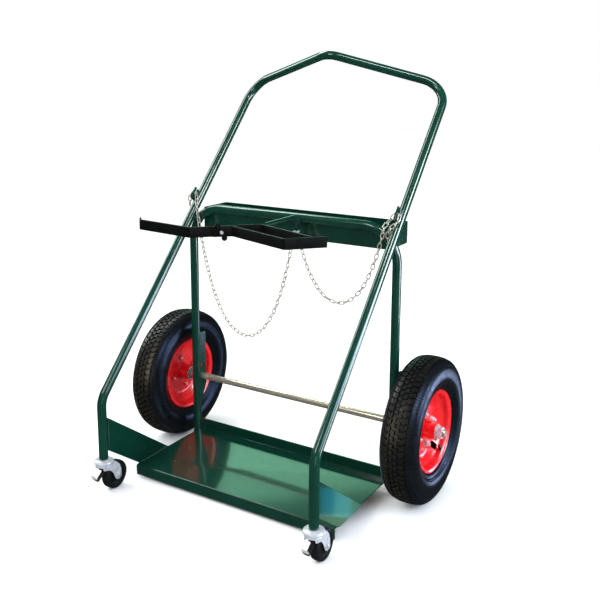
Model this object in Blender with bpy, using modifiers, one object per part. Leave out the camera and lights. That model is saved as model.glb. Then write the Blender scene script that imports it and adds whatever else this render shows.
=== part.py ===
"""Oxy-acetylene torch cart: a leaning tube hoop on two pneumatic wheels and two braked swivel castors.

Metres, +Z up. The origin is on the ground under the middle of the cart. +X is the cart's right-hand
side seen from the castor end, +Y points from the castors to the wheels and the handle.
"""

import math

import bmesh
import bpy
from mathutils import Matrix, Vector

# --- driving dimensions ---------------------------------------------------------------------------
ORIGIN = Vector((0.0, 0.3462, 0.0))   # y is measured from the legs; the origin is this far behind them
GAP = 0.0003                # clearance between touching pieces

TUBE_R = 0.0127             # frame tube, 25.4 mm outside diameter
TUBE_WALL = 0.0016

HOOP_X = 0.337              # half spacing of the main hoop's legs
HOOP_FOOT_Z = 0.1000        # open lower end of each leg
HOOP_BEND_Z = 0.272         # where the legs start to lean back
HOOP_CORNER_Z = 1.113       # height of the hoop's top corners
HOOP_LEAN = 0.889           # metres back for each metre up
HOOP_APEX_Y = 0.632         # the handle bar is bent up and forward at its middle
HOOP_APEX_Z = 1.206
HOOP_BEND_R = 0.060
HOOP_CORNER_R = 0.073
HOOP_APEX_R = 0.080

POST_X = 0.341              # inner hoop: half spacing, plane and height
POST_Y = 0.419
POST_TOP_Z = 0.750
POST_FOOT_Z = 0.012
POST_CORNER_R = 0.098

WHEEL_R = 0.200             # 4.00-8 pneumatic wheel, 400 mm outside diameter
WHEEL_X = 0.421             # tyre centre plane
WHEEL_Y = 0.4445            # axle
WHEEL_TURN = 28             # segments round a turned wheel piece
TYRE_WALL = 0.007
RIM_SHEET = 0.0025
RIM_R = 0.1137              # outer edge of the rim's flange
HUB_LENGTH = 0.080
HUB_R = 0.0240
HUB_BORE_R = 0.0212
BEARING_WIDTH = 0.012
VALVE = (0.0268, 0.0885)    # out from the tyre's middle, and distance from the axle
VALVE_TURN = {"left": -90, "right": -52}   # degrees round the axle, 0 towards +Y
AXLE_R = 0.010
AXLE_HALF = 0.484
AXLE_CHAMFER = 0.0015
AXLE_SPACER_R = 0.0122
AXLE_WASHER = (0.0185, 0.003)           # outer radius and thickness
AXLE_NUT = (0.0165, 0.013)              # radius to its corners, and thickness
SPARE_HOLE = (0.035, 0.0065)            # in the axle plate: height above the axle, and radius

TRAY_X = 0.3277             # base tray half width
TRAY_FRONT_Y = 0.118
TRAY_BACK_Y = 0.424
TRAY_FLOOR_Z = 0.036
TRAY_LIP_Z = 0.006
TRAY_WALL_Z = 0.067
TRAY_SHEET = 0.003
TRAY_DRAIN = (-0.250, 0.198)
TRAY_DRAIN_R = 0.004

BOX_X = 0.3125              # shallow open-topped tool tray behind the inner hoop's bar
BOX_FRONT_Y = 0.4322
BOX_BACK_Y = 0.547
BOX_LOW_Z = 0.686
BOX_TOP_Z = 0.748
BOX_SHEET = 0.002

GUSSET_T = 0.004            # plates between the legs and the base tray
PLATE_T = 0.006             # axle plates behind the inner hoop's posts

CLAMP_Z = 0.746             # middle of the cylinder clamp's flat bars
CLAMP_H = 0.028
CLAMP_T = 0.005
CLAMP_PEAK = (0.033, 0.236)
CLAMP_BEND = (-0.098, 0.0985)
CLAMP_HOOK = ((-0.3020, 0.1400), (-0.2820, 0.1165))   # left end of the bar
CLAMP_END = (0.2265, 0.1650)                          # right end of the bar
ARM_BEND = (0.1870, 0.1050)
ARM_END = (0.2590, 0.1860)
ARM_TAB = (-0.020, 0.031)   # flat stretch of the arm against the bar, behind and ahead of the bolt
KNUCKLE_ALONG = 0.42        # hinge bolt's place on the bar between its bend, at 0, and its peak, at 1
PIN_R = 0.0040
PIN_REACH = 0.027           # how far the bolt stands out in front of the bar
PIN_HEAD = (0.0080, 0.0030)
WING_BOSS = (0.0080, 0.0090)            # radius and thickness of the wing nut's boss
WING_REACH = 0.0185         # centre of each wing's round end
WING_END_R = 0.0075
WING_T = 0.0035
WING_TILT = 28              # degrees that the upper wing leans towards the bar's left end

ROD_R = 0.0055              # centre rod that carries the clamp
ROD_Z = 0.758
ROD_X = 0.040
ROD_FOOT_Z = 0.7245         # its turned-down end

CASTOR_WHEEL_R = 0.040
CASTOR_WHEEL_W = 0.026
CASTOR_TRAIL = 0.038        # axle behind the swivel
CASTOR_AXLE_R = 0.0040
CASTOR_TYRE_FLAT = 0.0355   # radius where the wheel's face ends
STEM_LENGTH = 0.045         # the part of the stem that plugs into the leg
CUP_R = 0.0275              # cup over the swivel's ball race
CUP_H = 0.0095
YOKE = (0.0235, 0.0045)     # round top plate of the fork: radius and thickness
CHEEK_T = 0.0026
BRAKE_Y = -0.0105           # brake pedal's hinge, and its depth under the yoke
BRAKE_DROP = 0.0130
BRAKE_PIN_R = 0.0015
BRAKE_SHEET = 0.0024

CHAIN_R = 0.0040            # plain tube in place of the links
CHAIN_POINTS = 26
CHAIN_LENGTH = {"left": 0.825, "right": 0.508}   # the stretch that hangs free
ANCHOR = (ROD_X + 0.006, 0.386, 0.7060)  # where both chains leave the bolt under the rod's end
ANCHOR_SPREAD = 0.0085
CHAIN_DRAPE = (0.3120, 0.3975, 0.7570)  # from here a chain runs straight back to its slotted tab
CHAIN_END = (0.3300, 0.4205, 0.7865)
HOOK_Z = 0.769                          # the tab's middle

SIDES = (("left", -1), ("right", 1))


# --- scene and materials --------------------------------------------------------------------------
def clear_scene():
    for obj in list(bpy.data.objects):
        bpy.data.objects.remove(obj, do_unlink=True)


def new_collection(name):
    group = bpy.data.collections.new(name)
    bpy.context.scene.collection.children.link(group)
    return group


def new_material(name, colour, roughness, metallic):
    mat = bpy.data.materials.new(name)
    mat.use_nodes = True
    shader = mat.node_tree.nodes["Principled BSDF"]
    shader.inputs["Base Color"].default_value = (*colour, 1.0)
    shader.inputs["Roughness"].default_value = roughness
    shader.inputs["Metallic"].default_value = metallic
    return mat


clear_scene()
PARTS = new_collection("oxy_acetylene_torch_cart")
CUTTERS = new_collection("cutters")
FINISH = {
    "enamel": ((0.012, 0.105, 0.062), 0.16, 0.0),
    "red": ((0.62, 0.012, 0.014), 0.18, 0.0),
    "rubber": ((0.018, 0.018, 0.020), 0.62, 0.0),
    "black": ((0.012, 0.012, 0.012), 0.40, 0.0),
    "zinc": ((0.70, 0.71, 0.72), 0.28, 1.0),
    "axle": ((0.66, 0.60, 0.48), 0.30, 1.0),
}


def place(obj, name, finish, at=(0.0, 0.0, 0.0)):
    """Names the object, gives it its own material and puts it in the parts collection at a point."""
    for group in list(obj.users_collection):
        group.objects.unlink(obj)
    PARTS.objects.link(obj)
    obj.name = name
    obj.data.name = name
    obj.location = Vector(at) - ORIGIN
    obj.data.materials.clear()
    obj.data.materials.append(new_material(name, *FINISH[finish]))
    return obj


def mesh_object(bm, name, finish, at=(0.0, 0.0, 0.0), smooth=True):
    mesh = bpy.data.meshes.new(name)
    bmesh.ops.recalc_face_normals(bm, faces=bm.faces)
    bm.to_mesh(mesh)
    bm.free()
    if smooth:
        mesh.shade_smooth()
        mesh.set_sharp_from_angle(angle=math.radians(35))
    obj = bpy.data.objects.new(name, mesh)
    return place(obj, name, finish, at)


# --- shape helpers --------------------------------------------------------------------------------
def rounded_path(corners, radii, steps=5):
    """Points along straight runs through the corners, each inner corner turned with its radius."""
    pts = [Vector(c).to_3d() for c in corners]
    path = [pts[0]]
    for before, here, after, radius in zip(pts, pts[1:], pts[2:], radii):
        into = (here - before).normalized()
        out = (after - here).normalized()
        angle = into.angle(out)
        reach = radius * math.tan(angle / 2)
        start = here - into * reach
        inward = (out - into * into.dot(out)).normalized()
        centre = start + inward * radius
        for k in range(steps + 1):
            turn = angle * k / steps
            path.append(centre - inward * radius * math.cos(turn) + into * radius * math.sin(turn))
    path.append(pts[-1])
    return path


def tube(name, path, radius, finish, resolution=3, wall=None):
    """A round bar along the path, or an open-ended tube when a wall thickness is given."""
    curve = bpy.data.curves.new(name, "CURVE")
    curve.dimensions = "3D"
    curve.bevel_depth = radius
    curve.bevel_resolution = resolution
    curve.use_fill_caps = wall is None
    spline = curve.splines.new("POLY")
    spline.points.add(len(path) - 1)
    for point, co in zip(spline.points, path):
        point.co = (*co, 1.0)
    obj = place(bpy.data.objects.new(name, curve), name, finish)
    if wall is not None:
        shell = obj.modifiers.new("wall", "SOLIDIFY")
        shell.thickness = wall
        shell.offset = -1.0
    return obj


def turned(name, profile, finish, at, axis="X", steps=24, closed=True, wall=None):
    """Turns a profile of (along, radius) points round the X or Z axis through the object's origin.

    A profile that is closed, or that starts and ends on the axis, gives a solid. With a wall, the
    profile is an open line that becomes a shell.
    """
    bm = bmesh.new()
    if axis == "X":
        verts = [bm.verts.new((along, 0.0, radius)) for along, radius in profile]
        line = (1.0, 0.0, 0.0)
    else:
        verts = [bm.verts.new((radius, 0.0, along)) for along, radius in profile]
        line = (0.0, 0.0, 1.0)
    for a, b in zip(verts, verts[1:]):
        bm.edges.new((a, b))
    if closed and wall is None:
        bm.edges.new((verts[-1], verts[0]))
    bmesh.ops.spin(bm, geom=bm.verts[:] + bm.edges[:], cent=(0.0, 0.0, 0.0), axis=line,
                   angle=math.tau, steps=steps, use_merge=True)
    bmesh.ops.remove_doubles(bm, verts=bm.verts[:], dist=1e-6)
    obj = mesh_object(bm, name, finish, at)
    if wall is not None:
        shell = obj.modifiers.new("wall", "SOLIDIFY")
        shell.thickness = wall
        shell.offset = 0.0
    return obj


def plate(name, outlines, thickness, finish, at=(0.0, 0.0, 0.0), turn=None):
    """A flat plate from 2D outlines, the first its edge and the rest its holes.

    The outline lies in the object's XY plane; turn is a 3x3 matrix that stands it up.
    """
    curve = bpy.data.curves.new(name, "CURVE")
    curve.dimensions = "2D"
    curve.fill_mode = "BOTH"
    curve.extrude = thickness / 2
    for outline in outlines:
        spline = curve.splines.new("POLY")
        spline.points.add(len(outline) - 1)
        for point, (u, v) in zip(spline.points, outline):
            point.co = (u, v, 0.0, 1.0)
        spline.use_cyclic_u = True
    obj = place(bpy.data.objects.new(name, curve), name, finish, at)
    if turn is not None:
        obj.rotation_euler = turn.to_euler()
    return obj


def circle(u, v, radius, count=12):
    return [(u + radius * math.cos(math.tau * k / count), v + radius * math.sin(math.tau * k / count))
            for k in range(count)]


def arc(u, v, radius, start, end, count=6):
    angles = [math.radians(start + (end - start) * k / count) for k in range(count + 1)]
    return [(u + radius * math.cos(a), v + radius * math.sin(a)) for a in angles]


UPRIGHT_YZ = Matrix(((0, 0, 1), (1, 0, 0), (0, 1, 0)))   # outline (u, v) becomes (y, z), normal +X


def to_mesh(obj):
    """Replaces a curve object by the mesh that it makes."""
    bpy.context.view_layer.update()
    depsgraph = bpy.context.evaluated_depsgraph_get()
    mesh = bpy.data.meshes.new_from_object(obj.evaluated_get(depsgraph))
    bm = bmesh.new()
    bm.from_mesh(mesh)
    bmesh.ops.remove_doubles(bm, verts=bm.verts[:], dist=1e-6)
    bmesh.ops.recalc_face_normals(bm, faces=bm.faces)
    bm.to_mesh(mesh)
    bm.free()
    name = obj.name
    matrix = obj.matrix_world.copy()
    group = obj.users_collection[0]
    bpy.data.objects.remove(obj, do_unlink=True)
    made = bpy.data.objects.new(name, mesh)
    made.matrix_world = matrix
    group.objects.link(made)
    made.name = name
    return made


def use_as_tool(target, tool, operation):
    """Cuts the target with the tool, or joins the tool to it, and keeps the tool as a guide."""
    for group in list(tool.users_collection):
        group.objects.unlink(tool)
    CUTTERS.objects.link(tool)
    tool.hide_render = True
    tool.display_type = "WIRE"
    boolean = target.modifiers.new(tool.name, "BOOLEAN")
    boolean.operation = operation
    boolean.solver = "EXACT"
    boolean.object = tool


def cylinder(name, radius, depth, finish, at, axis=(0.0, 0.0, 1.0), count=16):
    bm = bmesh.new()
    bmesh.ops.create_cone(bm, cap_ends=True, segments=count, radius1=radius, radius2=radius, depth=depth)
    obj = mesh_object(bm, name, finish, at)
    obj.rotation_euler = Vector(axis).to_track_quat("Z", "Y").to_euler()
    return obj


def flat_bar(name, corners, z, height, thickness, finish, radius=0.010, at=(0.0, 0.0)):
    """A flat bar on edge, bent along the (x, y) corners. The origin is at the point given."""
    path = rounded_path([(x - at[0], y - at[1], 0.0) for x, y in corners], [radius] * (len(corners) - 2), 3)
    bm = bmesh.new()
    low = [bm.verts.new((p.x, p.y, -height / 2)) for p in path]
    high = [bm.verts.new((p.x, p.y, height / 2)) for p in path]
    for k in range(len(path) - 1):
        bm.faces.new((low[k], low[k + 1], high[k + 1], high[k]))
    obj = mesh_object(bm, name, finish, (at[0], at[1], z), smooth=False)
    shell = obj.modifiers.new("thickness", "SOLIDIFY")
    shell.thickness = thickness
    shell.offset = 0.0
    return obj


def follow_lean(z):
    """Where the main hoop's leaning tube is at a height: its y."""
    return (z - HOOP_BEND_Z) * HOOP_LEAN


# --- frame ----------------------------------------------------------------------------------------
def make_main_hoop():
    corner_y = follow_lean(HOOP_CORNER_Z)
    left = [(-HOOP_X, 0.0, HOOP_FOOT_Z), (-HOOP_X, 0.0, HOOP_BEND_Z), (-HOOP_X, corner_y, HOOP_CORNER_Z)]
    right = [(HOOP_X, y, z) for _, y, z in reversed(left)]
    corners = left + [(0.0, HOOP_APEX_Y, HOOP_APEX_Z)] + right
    radii = [HOOP_BEND_R, HOOP_CORNER_R, HOOP_APEX_R, HOOP_CORNER_R, HOOP_BEND_R]
    tube("main_hoop", rounded_path(corners, radii), TUBE_R, "enamel", wall=TUBE_WALL)


def make_inner_hoop():
    corners = [(-POST_X, POST_Y, POST_FOOT_Z), (-POST_X, POST_Y, POST_TOP_Z),
               (POST_X, POST_Y, POST_TOP_Z), (POST_X, POST_Y, POST_FOOT_Z)]
    path = rounded_path(corners, [POST_CORNER_R] * 2, 8)
    tube("inner_hoop", path, TUBE_R, "enamel", wall=TUBE_WALL)


def make_tool_tray():
    """A shallow sheet-metal box without a lid, welded behind the inner hoop's bar."""
    half = BOX_SHEET / 2
    bm = bmesh.new()
    bmesh.ops.create_cube(bm, size=1.0)
    depth = BOX_BACK_Y - BOX_FRONT_Y - BOX_SHEET
    size = Vector((2 * BOX_X - BOX_SHEET, depth, BOX_TOP_Z - BOX_LOW_Z - half))
    bmesh.ops.scale(bm, vec=size, verts=bm.verts)
    lid = [f for f in bm.faces if f.normal.z > 0.5]
    bmesh.ops.delete(bm, geom=lid, context="FACES_ONLY")
    middle = (0.0, (BOX_FRONT_Y + BOX_BACK_Y) / 2, (BOX_LOW_Z + half + BOX_TOP_Z) / 2)
    obj = mesh_object(bm, "tool_tray", "enamel", middle, smooth=False)
    shell = obj.modifiers.new("sheet", "SOLIDIFY")
    shell.thickness = BOX_SHEET
    shell.offset = 0.0
    shell.use_even_offset = True


def make_base_tray():
    """One bent sheet: a lip turned down at the front, the floor, and a low wall at the back."""
    half = TRAY_SHEET / 2
    corners = [(0.0, TRAY_FRONT_Y + half, TRAY_LIP_Z), (0.0, TRAY_FRONT_Y + half, TRAY_FLOOR_Z - half),
               (0.0, TRAY_BACK_Y - half, TRAY_FLOOR_Z - half), (0.0, TRAY_BACK_Y - half, TRAY_WALL_Z)]
    profile = rounded_path(corners, [0.004, 0.004], 3)
    bm = bmesh.new()
    rows = [[bm.verts.new((x, p.y, p.z)) for p in profile] for x in (-TRAY_X, TRAY_X)]
    for k in range(len(profile) - 1):
        bm.faces.new((rows[0][k], rows[0][k + 1], rows[1][k + 1], rows[1][k]))
    obj = mesh_object(bm, "base_tray", "enamel", smooth=False)
    shell = obj.modifiers.new("sheet", "SOLIDIFY")
    shell.thickness = TRAY_SHEET
    shell.offset = 0.0
    drain = cylinder("drain_cutter", TRAY_DRAIN_R, 0.02, "enamel", (*TRAY_DRAIN, TRAY_FLOOR_Z))
    use_as_tool(obj, drain, "DIFFERENCE")


def make_gussets():
    """A slanting plate on each side, from the leg down to the edge of the base tray."""
    plate_x = TRAY_X + GAP + GUSSET_T / 2
    leg_y = math.sqrt(TUBE_R ** 2 - (HOOP_X - plate_x - GUSSET_T / 2) ** 2) + GAP
    low = TRAY_FLOOR_Z - TRAY_SHEET
    outline = [(leg_y, 0.121), (0.134, low), (0.262, low), (leg_y, 0.218)]
    for side, sign in SIDES:
        plate(f"side_gusset_{side}", [outline], GUSSET_T, "enamel", (sign * plate_x, 0.0, 0.0), UPRIGHT_YZ)


def make_axle_plates():
    """A plate behind each post with the axle's hole and a spare hole above it."""
    near = POST_Y + TUBE_R + GAP
    far = 0.4640
    outline = [(near, 0.100), (far, 0.170), (far, 0.343), (near, 0.346)]
    spare_up, spare_r = SPARE_HOLE
    holes = [circle(WHEEL_Y, WHEEL_R, AXLE_R + GAP, 16), circle(WHEEL_Y, WHEEL_R + spare_up, spare_r)]
    for side, sign in SIDES:
        at = (sign * POST_X, 0.0, 0.0)
        plate(f"axle_plate_{side}", [outline] + holes, PLATE_T, "enamel", at, UPRIGHT_YZ)


# --- axle and wheels ------------------------------------------------------------------------------
def ring(name, inner, outer, width, finish, at):
    half = width / 2
    profile = [(-half, inner), (half, inner), (half, outer), (-half, outer)]
    return turned(name, profile, finish, at, steps=16)


def make_axle():
    """A bar across the cart, with a spacer, a washer and a nut on each side that keep the wheel in place."""
    bm = bmesh.new()
    bmesh.ops.create_cone(bm, cap_ends=True, segments=16, radius1=AXLE_R, radius2=AXLE_R,
                          depth=2 * AXLE_HALF)
    rims = [e for e in bm.edges if abs(e.verts[0].co.z - e.verts[1].co.z) < 1e-6]
    bmesh.ops.bevel(bm, geom=rims, offset=AXLE_CHAMFER, segments=1, affect="EDGES")
    bmesh.ops.rotate(bm, verts=bm.verts, matrix=Matrix.Rotation(math.pi / 2, 3, "Y"))
    mesh_object(bm, "axle", "axle", (0.0, WHEEL_Y, WHEEL_R))

    washer_r, washer_t = AXLE_WASHER
    nut_r, nut_t = AXLE_NUT
    plate_face = POST_X + PLATE_T / 2 + GAP
    hub_in = WHEEL_X - HUB_LENGTH / 2 - GAP
    hub_out = WHEEL_X + HUB_LENGTH / 2 + GAP
    bore = AXLE_R + GAP
    for side, sign in SIDES:
        at = (sign * (plate_face + hub_in) / 2, WHEEL_Y, WHEEL_R)
        ring(f"axle_spacer_{side}", bore, AXLE_SPACER_R, hub_in - plate_face, "axle", at)
        at = (sign * (hub_out + washer_t / 2), WHEEL_Y, WHEEL_R)
        ring(f"axle_washer_{side}", bore, washer_r, washer_t, "zinc", at)
        at = (sign * (hub_out + GAP + washer_t + nut_t / 2), WHEEL_Y, WHEEL_R)
        outlines = [circle(0.0, 0.0, nut_r, 6), circle(0.0, 0.0, bore, 16)]
        plate(f"axle_nut_{side}", outlines, nut_t, "zinc", at, UPRIGHT_YZ)


def tyre_line():
    """Half of the middle line of the tyre's wall, from the bead to the shoulder, as (across, radius).

    Above the bead the line is a squarish oval, wider than a circle would be at the shoulder.
    """
    bead = [(0.0262, 0.1070), (0.0268, 0.1130), (0.0330, 0.1190)]
    half_width, middle_r, half_height = 0.0455, 0.1560, 0.0405
    wall = []
    for k in range(5):
        angle = math.radians(-26 + 26 * k)
        across = half_width * math.cos(angle) ** 0.62
        rise = half_height * math.copysign(abs(math.sin(angle)) ** 0.9, angle)
        wall.append((across, middle_r + rise))
    return bead + wall


def make_wheel(side, sign):
    at = (sign * WHEEL_X, WHEEL_Y, WHEEL_R)
    half = tyre_line()
    whole = half + [(0.0, WHEEL_R - TYRE_WALL / 2)] + [(-u, r) for u, r in reversed(half)]
    turned(f"tyre_{side}", whole, "rubber", at, steps=WHEEL_TURN, wall=TYRE_WALL)

    slit = math.radians(8)
    count = 8
    angles = [slit / 2 + (math.tau - slit) * k / count for k in range(count + 1)]
    loop = [(0.032 * math.sin(a), 0.152 - 0.032 * math.cos(a)) for a in angles]
    turned(f"inner_tube_{side}", loop, "rubber", at, steps=16, wall=0.003)

    middle = RIM_SHEET / 2 + GAP / 2
    dish = [(middle, HUB_R + GAP), (middle, 0.074), (0.0130, 0.0905), (0.0170, 0.0985),
            (0.0300, 0.1015), (0.0340, RIM_R)]
    for half_name, face in (("outer", sign), ("inner", -sign)):
        profile = [(face * u, r) for u, r in dish]
        turned(f"rim_{half_name}_{side}", profile, "red", at, steps=WHEEL_TURN, wall=RIM_SHEET)

    step = 0.0015
    reach = HUB_LENGTH / 2
    seat = reach - BEARING_WIDTH - 2 * GAP
    bore = [(-reach, HUB_R), (-reach, HUB_BORE_R), (-seat, HUB_BORE_R), (-seat, HUB_BORE_R - step),
            (seat, HUB_BORE_R - step), (seat, HUB_BORE_R), (reach, HUB_BORE_R), (reach, HUB_R)]
    turned(f"hub_{side}", bore, "red", at, steps=16)
    for half_name, face in (("outer", sign), ("inner", -sign)):
        place_at = (at[0] + face * (reach - BEARING_WIDTH / 2 - GAP), WHEEL_Y, WHEEL_R)
        ring(f"bearing_{half_name}_{side}", AXLE_R + GAP, HUB_BORE_R - GAP, BEARING_WIDTH, "zinc", place_at)

    turn = math.radians(VALVE_TURN[side])
    away = Vector((0.0, math.cos(turn), math.sin(turn)))
    valve_at = Vector(at) + Vector((sign * VALVE[0], 0.0, 0.0)) + away * VALVE[1]
    cylinder(f"valve_{side}", 0.0042, 0.020, "black", valve_at, away, 10)


# --- cylinder clamp -------------------------------------------------------------------------------
def knuckle():
    """The hinge bolt's point on the clamp bar, the bar's direction there, and the bolt's direction."""
    bend = Vector(CLAMP_BEND)
    peak = Vector(CLAMP_PEAK)
    along = (peak - bend).normalized()
    return bend.lerp(peak, KNUCKLE_ALONG), along, Vector((along.y, -along.x))


def make_clamp():
    """A fixed zigzag bar, and an arm that swings up on a bolt and is held by a wing nut."""
    point, along, out = knuckle()
    axis = out.to_3d()

    def on_bolt(reach):
        """The point on the hinge bolt's axis that is this far in front of the bar's middle."""
        return (point + out * reach).to_3d() + Vector((0.0, 0.0, CLAMP_Z))

    bar = [*CLAMP_HOOK, CLAMP_BEND, CLAMP_PEAK, CLAMP_END]
    flat_bar("clamp_bar", bar, CLAMP_Z, CLAMP_H, CLAMP_T, "black")
    layer = out * (CLAMP_T + GAP)
    tab = [tuple(point + along * reach + layer) for reach in ARM_TAB]
    flat_bar("clamp_arm", [*tab, ARM_BEND, ARM_END], CLAMP_Z, CLAMP_H, CLAMP_T, "black", 0.008, tuple(point))
    for name in ("clamp_bar", "clamp_arm"):
        hole = cylinder(f"{name}_hole", PIN_R + GAP, 4 * CLAMP_T, "zinc", on_bolt(CLAMP_T / 2), axis, 12)
        use_as_tool(bpy.data.objects[name], hole, "DIFFERENCE")

    head_r, head_t = PIN_HEAD
    head_face = -(CLAMP_T / 2 + GAP)
    root = head_face - 2 * head_t / 3
    middle = (PIN_REACH + root) / 2
    bolt = cylinder("clamp_bolt", PIN_R, PIN_REACH - root, "zinc", on_bolt(middle), axis, 12)
    middle = head_face - head_t / 2
    dome = cylinder("clamp_bolt_head", head_r, head_t, "zinc", on_bolt(middle), axis, 12)
    use_as_tool(bolt, dome, "UNION")

    boss_r, boss_t = WING_BOSS
    seat = 1.5 * CLAMP_T + 3 * GAP + boss_t / 2
    tilt = math.radians(WING_TILT)
    level, upright = along.to_3d(), Vector((0.0, 0.0, 1.0))
    stand = Matrix((level * math.cos(tilt) + upright * math.sin(tilt),
                    upright * math.cos(tilt) - level * math.sin(tilt), axis)).transposed()
    nut = cylinder("wing_nut", boss_r, boss_t, "black", on_bolt(seat), axis, 16)
    for name, sign in (("wing_up", 1), ("wing_down", -1)):
        outline = arc(0.0, sign * WING_REACH, WING_END_R, 0, sign * 180, 8)
        outline += [(-0.0045, 0.0), (0.0045, 0.0)]
        wing = plate(name, [outline], WING_T, "black", on_bolt(seat), stand)
        use_as_tool(nut, to_mesh(wing), "UNION")
    bore = cylinder("wing_nut_bore", PIN_R + GAP, 4 * boss_t, "zinc", on_bolt(seat), axis, 12)
    use_as_tool(nut, bore, "DIFFERENCE")


def make_centre_rod():
    """The rod from the inner hoop's bar forward to the clamp, turned down in front of the bar."""
    drop_y = POST_Y - TUBE_R - ROD_R - GAP
    front_y = CLAMP_PEAK[1] + CLAMP_T / 2 + 3 * GAP
    corners = [(ROD_X, front_y, ROD_Z), (ROD_X, drop_y, ROD_Z), (ROD_X, drop_y, ROD_FOOT_Z)]
    tube("centre_rod", rounded_path(corners, [0.012], 6), ROD_R, "enamel", resolution=3)


def make_chain_anchor():
    """A tab under the rod's turned-down end, and the bolt that holds both chains."""
    tab_y = POST_Y - TUBE_R - ROD_R - GAP
    high = ROD_FOOT_Z - GAP
    low = high - 0.0195
    left, right = ROD_X - 0.012, ROD_X + 0.016
    bolt_x, bolt_z, bolt_r = ANCHOR[0], high - 0.0095, 0.0030
    edge = [(left, low), (right, low), (right, high), (left, high)]
    outlines = [edge, circle(bolt_x, bolt_z, bolt_r + GAP, 12)]
    stand = Matrix(((1, 0, 0), (0, 0, -1), (0, 1, 0)))
    plate("anchor_tab", outlines, 0.003, "enamel", (0.0, tab_y, 0.0), stand)
    middle = (bolt_x, tab_y - 0.0055, bolt_z)
    bolt = cylinder("anchor_bolt", bolt_r, 0.030, "zinc", middle, (0, 1, 0), 12)
    middle = (bolt_x, tab_y - 0.0225, bolt_z)
    head = cylinder("anchor_bolt_head", 0.0065, 0.0045, "zinc", middle, (0, 1, 0), 6)
    use_as_tool(bolt, head, "UNION")


def make_chain_hooks():
    """A slotted tab on the front of each leaning tube: a chain's link drops into the slot."""
    lean = math.atan(HOOP_LEAN)
    up = Vector((0.0, math.sin(lean), math.cos(lean)))
    front = Vector((0.0, -math.cos(lean), math.sin(lean)))
    near = TUBE_R + GAP
    outline = [(near, -0.019), (0.0400, -0.019), (0.0400, 0.019), (0.0305, 0.019)]
    outline += arc(0.0280, 0.0010, 0.0025, 0, -180, 6) + [(0.0255, 0.019), (near, 0.019)]
    foot = Vector((0.0, follow_lean(HOOK_Z), HOOK_Z))
    stand = Matrix(((0, 0, 1), (front.y, up.y, 0), (front.z, up.z, 0)))
    for side, sign in SIDES:
        plate(f"chain_hook_{side}", [outline], 0.004, "enamel", (sign * HOOP_X, foot.y, foot.z), stand)


def catenary(start, end, length, count):
    """Points of a chain of the given length that hangs between two points."""
    start, end = Vector(start), Vector(end)
    flat = Vector((end.x - start.x, end.y - start.y, 0.0))
    span, rise = flat.length, end.z - start.z
    low, high = 1e-3, 50.0
    target = math.sqrt(length ** 2 - rise ** 2)
    for _ in range(80):
        scale = (low + high) / 2
        if 2 * scale * math.sinh(span / (2 * scale)) > target:
            low = scale
        else:
            high = scale
    middle = span / 2 - scale * math.asinh(rise / (2 * scale * math.sinh(span / (2 * scale))))
    drop = scale * math.cosh(middle / scale)
    points = []
    for k in range(count + 1):
        run = scale * (math.asinh(math.sinh(-middle / scale) + length * k / count / scale)) + middle
        z = start.z + scale * math.cosh((run - middle) / scale) - drop
        points.append(Vector((start.x, start.y, z)) + flat * (run / span))
    return points


def make_chains():
    """Each chain hangs from the anchor bolt, passes in front of the inner hoop and ends at its tab."""
    for side, sign in SIDES:
        start = Vector(ANCHOR) + Vector((sign * ANCHOR_SPREAD, 0.0, 0.0))
        drape = (sign * CHAIN_DRAPE[0], *CHAIN_DRAPE[1:])
        end = Vector((sign * CHAIN_END[0], *CHAIN_END[1:]))
        path = catenary(start, drape, CHAIN_LENGTH[side], CHAIN_POINTS) + [end]
        tube(f"chain_{side}", path, CHAIN_R, "zinc", resolution=2)


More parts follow.
